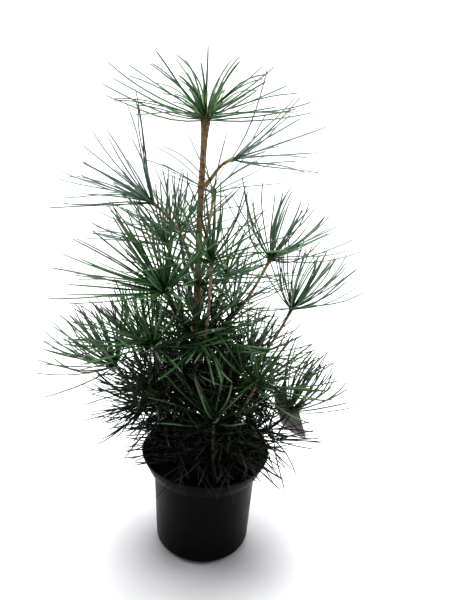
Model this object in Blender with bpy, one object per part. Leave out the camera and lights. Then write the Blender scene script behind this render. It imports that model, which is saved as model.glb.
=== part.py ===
"""A young Japanese umbrella pine in a round plastic nursery pot.

The pot stands on the floor at the origin and is filled with compost. A straight leader rises
from the compost, and slender boughs leave it and bend upwards. Every bough, and the leader,
ends in a whorl: long flat needles that stand round the shoot like the ribs of an umbrella.
Older whorls stay as rings round the leader and round ten of the boughs.

Metres, +Z up. The origin is the middle of the pot's flat underside.
"""

import math
import random

import bmesh
import bpy
import numpy as np
from mathutils import Matrix, Vector

# The pot, measured at its outside
POT_HEIGHT = 0.140
RIM_RADIUS = 0.085
RIM_FOOT_RADIUS = 0.0765
RIM_DEPTH = 0.022
BODY_RADIUS = 0.0690
BASE_RADIUS = 0.0640
BASE_EDGE = 0.009
WALL = 0.0018
POT_SIDES = 36
DRAIN_COUNT = 8
DRAIN_RADIUS = 0.0055
DRAIN_CIRCLE = 0.043
DRAIN_SIDES = 8

# The compost
SOIL_TOP = POT_HEIGHT - 0.012
SOIL_SIDES = 28

# Pieces that touch keep this gap
GAP = 0.0003

# The leader
TRUNK_FOOT = Vector((-0.020, 0.004, SOIL_TOP + GAP))
TRUNK_TOP = Vector((-0.0165, 0.008, 0.556))
TRUNK_SWAY = 0.0016
TRUNK_RADIUS_FOOT = 0.0047
TRUNK_RADIUS_TOP = 0.0027
ROOT_FLARE = 0.0026
CROWN_FLARE = 0.0022
TRUNK_FLARE_FADE = 40
TRUNK_RINGS = 14

# The boughs
BOUGH_RADIUS_FOOT = 0.0024
BOUGH_RADIUS_TIP = 0.0016
BOUGH_FLARE = 0.0008
BOUGH_FLARE_FADE = 22
BOUGH_FOOT_PULL = 0.30
BOUGH_TIP_PULL = 0.38
BOUGH_POINTS = 7

# The needles
NEEDLE_WIDTH = 0.0031
NEEDLE_DEPTH = 0.0014
NEEDLE_ROOT_SHARE = 0.34
NEEDLE_BEND_AT = 0.45
NEEDLE_CLEAR = 0.0037
LIMB_CLEAR = 0.0021
POT_CLEAR = 0.006
OVER_RIM_HANG = 0.035
NEEDLE_FREE_FROM = 0.006
GOLDEN_ANGLE = 137.5
SPIN_SPREAD = 0.3
ANGLE_SPREAD = 5
OUTER_CROWDING = 1.35
LENGTH_SPREAD = (0.88, 1.04)
WIDTH_SPREAD = (0.88, 1.10)
INNER_SHORTER = 0.32
BEND_SPREAD = 18
SWAY = 0.09
TIP_ROOTS_AT = 0.45
TIP_HANG = 0.06
RING_HANG = 0.40
TRIES = 16
TRY_STEEPER = 2.5

# One row for each bough: the height at which it leaves the leader, its heading seen from
# above in degrees, how far out and how high its tip is, and its lean from upright at its foot
# and at its tip. A height of 0 stands for a shoot that rises from the compost, ROOTED_REACH
# from the leader.
BOUGHS = {
    "bough_top_right": (0.489, -31, 0.037, 0.520, 54, 71),
    "bough_top_left": (0.386, -170, 0.053, 0.465, 14, 53),
    "bough_top_back": (0.400, 66, 0.034, 0.472, 26, 6),
    "bough_high_back_left": (0.324, 118, 0.062, 0.418, 34, 22),
    "bough_high_left": (0.268, 146, 0.050, 0.407, 26, 26),
    "bough_high_front": (0.256, -72, 0.052, 0.408, 42, 0),
    "bough_high_right": (0.296, 0, 0.084, 0.402, 66, 22),
    "bough_high_back": (0.276, 62, 0.070, 0.358, 44, 24),
    "bough_mid_front_left": (0.240, -128, 0.055, 0.368, 42, 36),
    "bough_mid_right": (0.196, 6, 0.118, 0.335, 66, 22),
    "bough_mid_back_right": (0.214, 38, 0.056, 0.324, 46, 8),
    "bough_mid_left": (0.184, -141, 0.062, 0.299, 46, 12),
    "bough_mid_back": (0.180, 96, 0.084, 0.300, 50, 24),
    "bough_low_left": (0.164, -172, 0.098, 0.257, 60, 32),
    "bough_low_back_left": (0.170, 148, 0.092, 0.262, 54, 30),
    "bough_low_back_right": (0.150, 44, 0.100, 0.240, 58, 34),
    "bough_low_front_right": (0.000, -32, 0.092, 0.258, 10, 24),
    "bough_low_right": (0.140, -9, 0.125, 0.208, 68, 28),
    "bough_low_front": (0.000, -63, 0.066, 0.212, -8, 2),
    "bough_small_front": (0.146, -112, 0.044, 0.176, 56, 44),
}
ROOTED_REACH = {"bough_low_front_right": 0.046, "bough_low_front": 0.076}

# The whorl at each bough's tip: needles, their length, the least and greatest angle between
# a needle and the shoot, and how far a needle turns outwards over its length, in degrees.
# Other whorls take the usual one.
USUAL_WHORL = (16, 0.108, 22, 92, -14)
WHORLS = {
    "bough_top_right": (14, 0.120, 2, 36, 18),
    "bough_top_left": (19, 0.138, 10, 54, 10),
    "bough_top_back": (15, 0.114, 24, 84, 14),
    "bough_high_left": (17, 0.114, 20, 78, 0),
    "bough_high_front": (17, 0.112, 16, 84, -8),
    "bough_high_right": (18, 0.113, 18, 74, -22),
    "bough_mid_right": (18, 0.111, 16, 66, -34),
    "bough_mid_front_left": (19, 0.124, 14, 60, 6),
    "bough_low_left": (17, 0.110, 18, 74, -34),
    "bough_low_right": (16, 0.110, 18, 62, -40),
    "bough_low_front_right": (17, 0.104, 18, 88, -22),
    "bough_low_front": (15, 0.106, 16, 68, -4),
    "bough_small_front": (10, 0.060, 22, 84, -10),
}

# Older whorls that stay round a limb: the limb, how far along it from its foot as a share,
# the needles, their length, the least and greatest angle from the limb, and their turn.
RINGS = {
    "whorl_ring_1": ("trunk", 0.560, 12, 0.100, 50, 86, -12),
    "whorl_ring_2": ("trunk", 0.440, 12, 0.098, 48, 86, -10),
    "whorl_ring_3": ("trunk", 0.370, 12, 0.098, 50, 88, -8),
    "whorl_ring_4": ("trunk", 0.228, 12, 0.096, 50, 90, -6),
    "whorl_ring_5": ("trunk", 0.180, 12, 0.092, 52, 90, -2),
    "whorl_ring_high_front": ("bough_high_front", 0.42, 11, 0.088, 52, 90, -6),
    "whorl_ring_mid_left": ("bough_mid_left", 0.50, 11, 0.088, 52, 90, -8),
    "whorl_ring_mid_right": ("bough_mid_right", 0.36, 11, 0.086, 52, 90, -8),
    "whorl_ring_mid_back": ("bough_mid_back", 0.46, 11, 0.088, 52, 90, -8),
    "whorl_ring_low_left": ("bough_low_left", 0.56, 12, 0.086, 56, 96, -4),
    "whorl_ring_back_left": ("bough_low_back_left", 0.52, 12, 0.088, 52, 92, -6),
    "whorl_ring_back_right": ("bough_low_back_right", 0.52, 12, 0.088, 52, 92, -6),
    "whorl_ring_low_right": ("bough_low_right", 0.56, 12, 0.080, 56, 96, -4),
    "whorl_ring_right": ("bough_low_front_right", 0.46, 12, 0.084, 62, 94, 2),
    "whorl_ring_front": ("bough_low_front", 0.56, 12, 0.082, 76, 98, 6),
}

# The leader's own whorl
CROWN = (21, 0.141, 60, 90, -4)
CROWN_INNER = (9, 0.106, 10, 44, 36)
CROWN_YOUNG = (7, 0.046, 8, 48, 20)
CROWN_STEM = 0.014
CORE_SIDES = 6
WHORL_STEM = 0.010
RING_HEIGHT = 0.006
RING_WALL = 0.0022
RING_SIDES = 12

# The plant label: a blank plastic tag, whose narrow end is looped round a bough. Its middle
# line, then half its width at each of those points.
LABEL_BOUGH = "bough_mid_right"
LABEL_AT = 0.50
LABEL_LINE = ((0.0900, 0.007, 0.2290), (0.1026, 0.000, 0.2114), (0.1180, 0.012, 0.1620))
LABEL_HALF_WIDTHS = (0.0045, 0.0225, 0.0235)
LABEL_BROAD = Vector((0.65, -0.76, 0.01)).normalized()
LABEL_THICKNESS = 0.0010
LABEL_NECK_WIDTH = 0.007

UP = Vector((0, 0, 1))


def clear_scene():
    for old in list(bpy.data.objects):
        bpy.data.objects.remove(old)


def material(name, colour, roughness, metallic=0.0):
    made = bpy.data.materials.new(name)
    made.use_nodes = True
    shader = made.node_tree.nodes["Principled BSDF"]
    shader.inputs["Base Color"].default_value = (*colour, 1)
    shader.inputs["Roughness"].default_value = roughness
    shader.inputs["Metallic"].default_value = metallic
    made.diffuse_color = (*colour, 1)
    return made


def object_from(name, mesh, finish):
    made = bpy.data.objects.new(name, mesh)
    bpy.context.scene.collection.objects.link(made)
    if finish:
        made.data.materials.append(finish)
    return made


def object_from_bmesh(name, shape, finish):
    bmesh.ops.recalc_face_normals(shape, faces=shape.faces[:])
    mesh = bpy.data.meshes.new(name)
    shape.to_mesh(mesh)
    shape.free()
    return object_from(name, mesh, finish)


def apply_modifiers(obj):
    """Puts the evaluated shape into the object's own mesh, and drops the modifiers."""
    bpy.context.view_layer.update()
    graph = bpy.context.evaluated_depsgraph_get()
    mesh = bpy.data.meshes.new_from_object(obj.evaluated_get(graph))
    obj.modifiers.clear()
    obj.data = mesh


def turned(name, profile, sides, finish):
    """A solid turned about the Z axis. The profile runs from axis to axis as (radius, height)."""
    shape = bmesh.new()
    points = [shape.verts.new((radius, 0, height)) for radius, height in profile]
    edges = [shape.edges.new(pair) for pair in zip(points, points[1:])]
    bmesh.ops.spin(
        shape,
        geom=points + edges,
        cent=(0, 0, 0),
        axis=(0, 0, 1),
        angle=math.tau,
        steps=sides,
        use_merge=True,
    )
    bmesh.ops.remove_doubles(shape, verts=shape.verts[:], dist=1e-5)
    made = object_from_bmesh(name, shape, finish)
    made.data.shade_smooth()
    made.data.set_sharp_from_angle(angle=math.radians(40))
    return made


def quarter_round(centre_radius, centre_height, size, first, last, steps=4):
    """Points of an arc in a turned profile, between two angles in degrees."""
    for k in range(steps + 1):
        angle = math.radians(first + (last - first) * k / steps)
        yield (centre_radius + size * math.cos(angle), centre_height + size * math.sin(angle))


def build_pot(finish):
    """The pot: a thin wall, a flared rim band, a rounded bottom edge and drain holes."""
    band_foot = POT_HEIGHT - RIM_DEPTH
    lip = WALL / 2
    profile = [(0, 0)]
    profile += quarter_round(BASE_RADIUS - BASE_EDGE, BASE_EDGE, BASE_EDGE, -90, 0)
    profile += [(BODY_RADIUS, band_foot), (RIM_FOOT_RADIUS, band_foot)]
    profile += quarter_round(RIM_RADIUS - lip, POT_HEIGHT - lip, lip, 0, 180, 3)
    profile += [
        (RIM_FOOT_RADIUS - WALL, band_foot + WALL),
        (BODY_RADIUS - WALL, band_foot + WALL),
    ]
    profile += quarter_round(BASE_RADIUS - BASE_EDGE, BASE_EDGE, BASE_EDGE - WALL, 0, -90, 3)
    profile += [(0, WALL)]
    pot = turned("pot", profile, POT_SIDES, finish)

    drains = bmesh.new()
    for k in range(DRAIN_COUNT):
        angle = math.tau * (k + 0.5) / DRAIN_COUNT
        place = Matrix.Translation(
            (DRAIN_CIRCLE * math.cos(angle), DRAIN_CIRCLE * math.sin(angle), WALL / 2)
        )
        bmesh.ops.create_cone(
            drains,
            cap_ends=True,
            segments=DRAIN_SIDES,
            radius1=DRAIN_RADIUS,
            radius2=DRAIN_RADIUS,
            depth=4 * WALL,
            matrix=place,
        )
    cutter = object_from_bmesh("drain_cutter", drains, None)
    cut = pot.modifiers.new("drains", "BOOLEAN")
    cut.operation = "DIFFERENCE"
    cut.solver = "EXACT"
    cut.object = cutter
    apply_modifiers(pot)
    bpy.data.objects.remove(cutter)
    return pot


def build_soil(finish):
    """The compost: it fills the pot inside the wall, with a flat top that sinks at the edge."""
    inner_base = BASE_RADIUS - WALL - GAP
    band_foot = POT_HEIGHT - RIM_DEPTH + WALL + GAP
    slope = (RIM_RADIUS - RIM_FOOT_RADIUS) / RIM_DEPTH
    top_radius = RIM_FOOT_RADIUS - WALL - 2 * GAP + slope * (SOIL_TOP - band_foot) * 0.9
    profile = [
        (0, WALL + GAP),
        (inner_base - BASE_EDGE * 0.8, WALL + GAP),
        (inner_base - 0.0006, BASE_EDGE),
        (BODY_RADIUS - WALL - 3 * GAP, band_foot),
        (RIM_FOOT_RADIUS - WALL - 4 * GAP, band_foot),
        (top_radius, SOIL_TOP - 0.002),
        (top_radius - 0.006, SOIL_TOP),
        (0, SOIL_TOP),
    ]
    return turned("soil", profile, SOIL_SIDES, finish)


def trunk_point(height):
    """The middle of the leader at a height: a straight lean with one slow sway."""
    share = (height - TRUNK_FOOT.z) / (TRUNK_TOP.z - TRUNK_FOOT.z)
    place = TRUNK_FOOT.lerp(TRUNK_TOP, share)
    place.x += TRUNK_SWAY * math.sin(math.tau * share)
    return place


def trunk_radius(height):
    """The leader tapers evenly, and widens at the root flare and under its own whorl."""
    share = (height - TRUNK_FOOT.z) / (TRUNK_TOP.z - TRUNK_FOOT.z)
    plain = TRUNK_RADIUS_FOOT + (TRUNK_RADIUS_TOP - TRUNK_RADIUS_FOOT) * share
    flare = ROOT_FLARE * math.exp(-share * TRUNK_FLARE_FADE)
    crown = CROWN_FLARE * math.exp(-(1 - share) * TRUNK_FLARE_FADE)
    return plain + flare + crown


def bezier(points, share):
    """A point of the cubic curve through four control points."""
    a, b, c, d = points
    rest = 1 - share
    return (
        a * rest**3 + b * (3 * rest**2 * share) + c * (3 * rest * share**2) + d * share**3
    )


def foot_clear(tilt):
    """How far a bough's foot stands off what it grows from, so that its end face clears it."""
    return GAP + BOUGH_RADIUS_FOOT * math.sin(math.radians(abs(tilt)))


def bough_controls(name):
    """Leaves the leader or the compost at the first lean, and bends to its tip's lean."""
    leaves_at, heading, reach, tip_height, *leans = BOUGHS[name]
    heading = math.radians(heading)
    outward = Vector((math.cos(heading), math.sin(heading), 0))
    axis_foot = trunk_point(leaves_at or SOIL_TOP)
    tip = Vector((axis_foot.x, axis_foot.y, tip_height)) + outward * reach
    first_way, tip_way = (
        outward * math.sin(lean) + UP * math.cos(lean) for lean in map(math.radians, leans)
    )
    if leaves_at:
        foot = axis_foot + outward * (trunk_radius(leaves_at) + foot_clear(90 - leans[0]))
    else:
        foot = axis_foot + outward * ROOTED_REACH[name] + UP * foot_clear(leans[0])
    span = (tip - foot).length
    after_foot = foot + first_way * span * BOUGH_FOOT_PULL
    return foot, after_foot, tip - tip_way * span * BOUGH_TIP_PULL, tip


def bough_radius(share):
    taper = BOUGH_RADIUS_FOOT + (BOUGH_RADIUS_TIP - BOUGH_RADIUS_FOOT) * share
    return taper + BOUGH_FLARE * math.exp(-(1 - share) * BOUGH_FLARE_FADE)


def limb_points(name):
    """The limb's middle line as (point, radius), from foot to tip."""
    if name == "trunk":
        heights = [
            TRUNK_FOOT.z + (TRUNK_TOP.z - TRUNK_FOOT.z) * share
            for share in (0, 0.008, 0.025, 0.055, *np.linspace(0.1, 0.94, TRUNK_RINGS), 0.975, 1)
        ]
        line = [(trunk_point(height), trunk_radius(height)) for height in heights]
        line[0][0].xy = line[1][0].xy
        return line
    controls = bough_controls(name)
    shares = [0, 0.03] + [k / (BOUGH_POINTS - 1) for k in range(1, BOUGH_POINTS)]
    return [(bezier(controls, share), bough_radius(share)) for share in shares]


def build_limb(name, finish, sides_step):
    """A tapering limb: a curve with a round bevel, its ends filled."""
    line = limb_points(name)
    curve = bpy.data.curves.new(name, "CURVE")
    curve.dimensions = "3D"
    curve.bevel_depth = 1.0
    curve.bevel_resolution = sides_step
    curve.use_fill_caps = True
    spline = curve.splines.new("POLY")
    spline.points.add(len(line) - 1)
    for knot, (place, radius) in zip(spline.points, line):
        knot.co = (*place, 1)
        knot.radius = radius
    return object_from(name, curve, finish)


def limb_place(name, share):
    """A point along a limb, the way it runs there, and its radius there."""
    if name == "trunk":
        height = TRUNK_FOOT.z + (TRUNK_TOP.z - TRUNK_FOOT.z) * share
        way = trunk_point(height + 0.002) - trunk_point(height - 0.002)
        return trunk_point(height), way.normalized(), trunk_radius(height)
    controls = bough_controls(name)
    way = bezier(controls, share + 0.01) - bezier(controls, share - 0.01)
    return bezier(controls, share), way.normalized(), bough_radius(share)


def square_to(way):
    """Two unit directions square to a way and to each other."""
    first = way.cross(Vector((0.31, 0.95, 0.05))).normalized()
    return first, way.cross(first).normalized()


class Needle:
    """One needle: an arc in the plane of its shoot, with a little sideways sway."""

    def __init__(self, root, way, outward, length, first_angle, last_angle, sway, width):
        self.root = root
        self.way = way
        self.outward = outward
        self.side = way.cross(outward)
        self.length = length
        self.first_angle = first_angle
        self.turn = last_angle - first_angle
        self.sway = sway
        self.width = width

    def point(self, share):
        """The way turns evenly along the needle, so the place is its integral."""
        angle = self.first_angle + self.turn * share
        along = (math.sin(angle) - math.sin(self.first_angle)) / self.turn
        across = (math.cos(self.first_angle) - math.cos(angle)) / self.turn
        arc = self.way * along + self.outward * across
        return self.root + (arc + self.side * self.sway * share**2) * self.length

    def corners(self):
        return [self.point(share) for share in (0, NEEDLE_BEND_AT, 1)]

    def solid(self, collection):
        """A tapering blade, flat above and keeled below, that comes to a point."""
        places = self.corners()
        shape = bmesh.new()
        rows = []
        for k, share in enumerate((NEEDLE_ROOT_SHARE, 1)):
            run = (places[k + 1] - places[max(k - 1, 0)]).normalized()
            across = run.cross(self.way).normalized() * (self.width / 2 * share)
            below = across.cross(run).normalized() * (NEEDLE_DEPTH * share)
            if below.dot(self.way) > 0:
                below.negate()
            rows.append([shape.verts.new(places[k] + step) for step in (across, -across, below)])
        tip = shape.verts.new(places[2])
        shape.faces.new(rows[0])
        for k in range(3):
            shape.faces.new((rows[0][k - 1], rows[0][k], rows[1][k], rows[1][k - 1]))
            shape.faces.new((rows[1][k - 1], rows[1][k], tip))
        bmesh.ops.recalc_face_normals(shape, faces=shape.faces[:])
        bmesh.ops.triangulate(shape, faces=shape.faces[:])
        mesh = bpy.data.meshes.new("needle")
        shape.to_mesh(mesh)
        shape.free()
        collection.objects.link(bpy.data.objects.new("needle", mesh))


class Clearance:
    """What is already in place: straight stretches with a radius, each with its owner."""

    def __init__(self):
        self.starts, self.ends, self.radii, self.owners = [], [], [], []

    def add(self, start, end, radius, owner):
        self.starts.append(start[:])
        self.ends.append(end[:])
        self.radii.append(radius)
        self.owners.append(owner)

    def gap(self, start, end, owner):
        """The least gap between a straight stretch and all of those that others own."""
        others = [k for k, other in enumerate(self.owners) if other != owner]
        if not others:
            return 1.0
        start, end = np.array(start), np.array(end)
        starts, ends = np.array(self.starts)[others], np.array(self.ends)[others]
        radii = np.array(self.radii)[others]
        mine, theirs, between = end - start, ends - starts, start - starts
        a, e = mine @ mine, (theirs**2).sum(1)
        b, c, f = theirs @ mine, between @ mine, (theirs * between).sum(1)
        share = np.clip((b * f - c * e) / np.maximum(a * e - b * b, 1e-15), 0, 1)
        other = np.clip((b * share + f) / e, 0, 1)
        share = np.clip((b * other - c) / a, 0, 1)
        apart = between + share[:, None] * mine - other[:, None] * theirs
        return float((np.linalg.norm(apart, axis=1) - radii).min())


def clear_of_pot(place):
    """True where a needle may be: above the compost and the rim, or outside the pot."""
    radius = math.hypot(place.x, place.y)
    if radius < RIM_RADIUS - 2 * POT_CLEAR:
        return place.z > SOIL_TOP + POT_CLEAR / 2
    if radius < RIM_RADIUS + POT_CLEAR:
        return place.z > POT_HEIGHT + POT_CLEAR / 2
    return place.z > POT_HEIGHT - OVER_RIM_HANG


def free(needle, owner, hang, limbs, needles):
    """True where the needle keeps clear of the pot, every limb and the other whorls.

    Its tip hangs no lower than its root by more than a share of its length.
    """
    root, bend, tip = needle.corners()
    if tip.z < root.z - needle.length * hang:
        return False
    if not all(clear_of_pot(needle.point(share)) for share in (0.25, 0.45, 0.6, 0.8, 0.9, 1)):
        return False
    after_root = root + (bend - root).normalized() * NEEDLE_FREE_FROM
    if min(limbs.gap(after_root, bend, owner), limbs.gap(bend, tip, owner)) < LIMB_CLEAR:
        return False
    return min(needles.gap(root, bend, owner), needles.gap(bend, tip, owner)) > NEEDLE_CLEAR


def whorl_seat(limb, share):
    """Where a whorl stands: its stem's foot, way and length, its radius, its needles' roots'
    distance from the middle, and how far a needle may hang."""
    place, way, radius = limb_place(limb, share)
    if share < 1:
        foot = place - way * RING_HEIGHT / 2
        roots = radius + 2 * GAP + RING_WALL / 2
        return foot, way, RING_HEIGHT, radius + RING_WALL, roots, RING_HANG
    stem = CROWN_STEM if limb == "trunk" else WHORL_STEM
    return place, way, stem, radius, radius * TIP_ROOTS_AT, TIP_HANG


def whorl_needles(name, seed, rule, seat, limbs, needles):
    """Needles round a shoot, each turned by the golden angle from the last.

    The angle from the shoot runs from the outermost, lowest needles to the innermost.
    A needle that would hang or touch something is turned, set steeper and tried again,
    then skipped.
    """
    foot, way, stem, _, roots, hang = seat
    count, length, least, greatest, turn = rule
    chance = random.Random(seed)
    first, second = square_to(way)
    found = []
    for k in range(count):
        rank = (k + 0.5) / count
        for attempt in range(TRIES):
            spin = chance.uniform(-SPIN_SPREAD, SPIN_SPREAD) * (1 + attempt / 2)
            spin += math.radians(GOLDEN_ANGLE) * k
            outward = first * math.cos(spin) + second * math.sin(spin)
            angle = greatest + (least - greatest) * rank**OUTER_CROWDING
            angle += chance.uniform(-ANGLE_SPREAD, ANGLE_SPREAD)
            angle = max(angle - attempt * TRY_STEEPER, least)
            bend = turn + chance.uniform(-BEND_SPREAD, BEND_SPREAD)
            reach = length * (1 - INNER_SHORTER * rank) * chance.uniform(*LENGTH_SPREAD)
            width = NEEDLE_WIDTH * chance.uniform(*WIDTH_SPREAD)
            root = foot + way * (stem * (0.25 + 0.6 * rank)) + outward * roots
            needle = Needle(
                root,
                way,
                outward,
                reach,
                math.radians(angle),
                math.radians(angle + bend) + 1e-4,
                chance.uniform(-SWAY, SWAY),
                width,
            )
            if free(needle, name, hang, limbs, needles):
                found.append(needle)
                break
    return found


def fuse(core, found, finish):
    """Joins the needles to their core in one union, then drops the loose ones."""
    bunch = bpy.data.collections.new(core.name + "_needles")
    bpy.context.scene.collection.children.link(bunch)
    for needle in found:
        needle.solid(bunch)
    join = core.modifiers.new("needles", "BOOLEAN")
    join.operation = "UNION"
    join.operand_type = "COLLECTION"
    join.solver = "MANIFOLD"
    join.collection = bunch
    apply_modifiers(core)
    for piece in list(bunch.objects):
        bpy.data.objects.remove(piece)
    bpy.data.collections.remove(bunch)
    core.data.materials.clear()
    core.data.materials.append(finish)


def along(way, place):
    """The frame that carries +Z onto a way at a place."""
    return Matrix.Translation(place) @ way.to_track_quat("Z", "Y").to_matrix().to_4x4()


def tip_core(name, seat, finish):
    """The short stem of a tip whorl: a turned bud that starts clear of its limb's end."""
    foot, way, stem, radius, *_ = seat
    profile = [(0, 0), (radius, 0), (radius * 1.15, stem / 2), (radius * 0.7, stem), (0, stem * 1.2)]
    core = turned(name, profile, CORE_SIDES, finish)
    core.data.transform(along(way, foot + way * GAP))
    return core


def ring_round(name, limb, share, wall, height, finish):
    """A ring round a limb, square to it and clear of it all round, and its middle radius."""
    place, way, radius = limb_place(limb, share)
    inner = radius / math.cos(math.pi / RING_SIDES) + GAP * 1.5
    outer = inner + wall
    half = height / 2
    shape = bmesh.new()
    rows = []
    for k in range(RING_SIDES):
        angle = math.tau * k / RING_SIDES
        section = [(inner, -half), (outer, -half), (outer, half), (inner, half)]
        rows.append(
            [shape.verts.new((r * math.cos(angle), r * math.sin(angle), h)) for r, h in section]
        )
    for k in range(RING_SIDES):
        for j in range(4):
            shape.faces.new((rows[k - 1][j - 1], rows[k - 1][j], rows[k][j], rows[k][j - 1]))
    ring = object_from_bmesh(name, shape, finish)
    ring.data.transform(along(way, place))
    return ring, inner + wall / 2


def build_label(finish):
    """The plate and its neck: one bent strip that starts inside the loop's wall."""
    wall = LABEL_THICKNESS * 1.4
    ring, start = ring_round(
        "plant_label", LABEL_BOUGH, LABEL_AT, wall, LABEL_NECK_WIDTH, finish
    )
    place = limb_place(LABEL_BOUGH, LABEL_AT)[0]
    line = [Vector(point) for point in LABEL_LINE]
    outward = (line[0] - place).normalized()
    line.insert(0, place + outward * start)
    halves = (LABEL_HALF_WIDTHS[0] * 0.8, *LABEL_HALF_WIDTHS)
    plate = bmesh.new()
    rows = []
    for k, half in enumerate(halves):
        run = line[min(k + 1, len(line) - 1)] - line[max(k - 1, 0)]
        thick = LABEL_BROAD.cross(run).normalized() * (LABEL_THICKNESS / 2)
        broad = LABEL_BROAD * half
        corners = (broad + thick, thick - broad, -broad - thick, broad - thick)
        rows.append([plate.verts.new(line[k] + corner) for corner in corners])
    for k in range(len(rows) - 1):
        for j in range(4):
            plate.faces.new((rows[k][j - 1], rows[k][j], rows[k + 1][j], rows[k + 1][j - 1]))
    plate.faces.new(rows[0])
    plate.faces.new(rows[-1])
    bmesh.ops.triangulate(plate, faces=plate.faces[:])
    piece = object_from_bmesh("label_plate", plate, None)
    join = ring.modifiers.new("plate", "BOOLEAN")
    join.operation = "UNION"
    join.solver = "EXACT"
    join.object = piece
    apply_modifiers(ring)
    bpy.data.objects.remove(piece)
    return [
        (line[k] + LABEL_BROAD * halves[k] * side, line[k + 1] + LABEL_BROAD * halves[k + 1] * side)
        for k in range(len(halves) - 1)
        for side in (-1, -0.67, -0.33, 0, 0.33, 0.67, 1)
    ]


def whorl_plans():
    """Every whorl in the order it is grown: name, seed, limb, share along it, needle rules."""
    yield ("whorl_crown", 1, "trunk", 1, CROWN, CROWN_INNER, CROWN_YOUNG)
    for seed, name in enumerate(BOUGHS):
        yield (name.replace("bough", "whorl"), seed + 10, name, 1, WHORLS.get(name, USUAL_WHORL))
    for seed, (name, (limb, share, *rule)) in enumerate(RINGS.items()):
        yield (name, seed + 60, limb, share, rule)


def main():
    clear_scene()
    black_plastic = material("black_plastic", (0.018, 0.019, 0.021), 0.42)
    peat = material("peat_compost", (0.022, 0.017, 0.013), 0.96)
    bark = material("orange_brown_bark", (0.36, 0.20, 0.10), 0.72)
    green = material("needle_green", (0.055, 0.16, 0.065), 0.45)
    grey_card = material("grey_label", (0.12, 0.11, 0.115), 0.5)

    build_pot(black_plastic)
    build_soil(peat)
    limbs, needles = Clearance(), Clearance()
    for name in ["trunk", *BOUGHS]:
        build_limb(name, bark, 4 if name == "trunk" else 1)
        line = limb_points(name)
        for (start, radius), (end, _) in zip(line, line[1:]):
            limbs.add(start, end, radius, name)
    for start, end in build_label(grey_card):
        limbs.add(start, end, LABEL_HALF_WIDTHS[1] / 6, "plant_label")
    for name, _, limb, share, *_ in whorl_plans():
        foot, way, stem, radius, *_ = whorl_seat(limb, share)
        limbs.add(foot, foot + way * stem, radius, name)

    whorls = []
    for name, seed, limb, share, *rules in whorl_plans():
        seat = whorl_seat(limb, share)
        found = []
        for number, rule in enumerate(rules):
            found += whorl_needles(name, seed + 100 * number, rule, seat, limbs, needles)
        for needle in found:
            root, bend, tip = needle.corners()
            needles.add(root, bend, 0, name)
            needles.add(bend, tip, 0, name)
        if share < 1:
            core = ring_round(name, limb, share, RING_WALL, RING_HEIGHT, green)[0]
        else:
            core = tip_core(name, seat, green)
        whorls.append((core, found))

    for core, found in whorls:
        fuse(core, found, green)
        print(core.name, len(found), "needles", len(core.data.polygons), "faces")


main()
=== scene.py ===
"""A young Japanese umbrella pine in its nursery pot, finished for its pictures.

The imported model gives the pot, the compost, the leader, the boughs, the whorls and the label.
Here each gets its fine surface: a moulded pot, crumbled compost, scaled bark, buds, and the
full number of grooved needles. Metres, +Z up.
"""

import math
import random

import bmesh
import bpy
import numpy as np
from mathutils import Matrix, Vector


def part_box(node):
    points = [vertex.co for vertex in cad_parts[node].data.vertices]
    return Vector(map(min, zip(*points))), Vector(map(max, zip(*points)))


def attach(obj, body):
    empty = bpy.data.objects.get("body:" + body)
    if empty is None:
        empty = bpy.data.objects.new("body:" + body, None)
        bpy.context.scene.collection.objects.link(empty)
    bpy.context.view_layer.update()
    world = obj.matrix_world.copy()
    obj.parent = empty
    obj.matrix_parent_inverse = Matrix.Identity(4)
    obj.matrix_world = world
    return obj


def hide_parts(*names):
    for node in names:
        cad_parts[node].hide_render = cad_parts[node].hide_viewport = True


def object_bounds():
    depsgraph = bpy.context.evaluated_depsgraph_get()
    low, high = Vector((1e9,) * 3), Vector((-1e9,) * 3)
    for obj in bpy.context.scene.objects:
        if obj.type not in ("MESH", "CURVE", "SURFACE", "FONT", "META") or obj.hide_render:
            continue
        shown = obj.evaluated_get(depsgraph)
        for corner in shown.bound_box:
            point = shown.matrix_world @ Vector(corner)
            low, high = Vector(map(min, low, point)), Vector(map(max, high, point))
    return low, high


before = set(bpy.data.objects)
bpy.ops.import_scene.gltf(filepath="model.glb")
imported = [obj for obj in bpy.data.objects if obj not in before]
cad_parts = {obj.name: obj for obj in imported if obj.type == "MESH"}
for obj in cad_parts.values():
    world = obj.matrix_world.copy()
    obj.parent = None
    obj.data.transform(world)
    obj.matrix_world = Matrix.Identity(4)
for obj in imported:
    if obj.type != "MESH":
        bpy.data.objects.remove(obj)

cad_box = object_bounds()

# The camera
# It stands in front of the plant, a little to the right and above, and looks down at it. It
# was held slightly out of level.

CAMERA_PLACE = Vector((0.0159, -0.649, 0.579))
CAMERA_DOWN = math.radians(19.3)
CAMERA_ROLL = math.radians(3.0)
CAMERA_LENS = 33.6


def put(name, data):
    """An object for a mesh, a lamp or the camera, linked to the scene."""
    made = bpy.data.objects.new(name, data)
    bpy.context.scene.collection.objects.link(made)
    return made


camera = put("camera", bpy.data.cameras.new("camera"))
camera.data.lens = CAMERA_LENS
camera.data.clip_start = 0.01
level_turn = Matrix.Rotation(math.pi / 2 - CAMERA_DOWN, 4, "X")
roll_turn = Matrix.Rotation(CAMERA_ROLL, 4, "Z")
camera.matrix_world = Matrix.Translation(CAMERA_PLACE) @ level_turn @ roll_turn
bpy.context.scene.camera = camera

# The studio
# A white paper sweep: a floor that curves up behind the plant. Large soft lamps stand above
# and behind it, and the room in front is dim.

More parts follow.
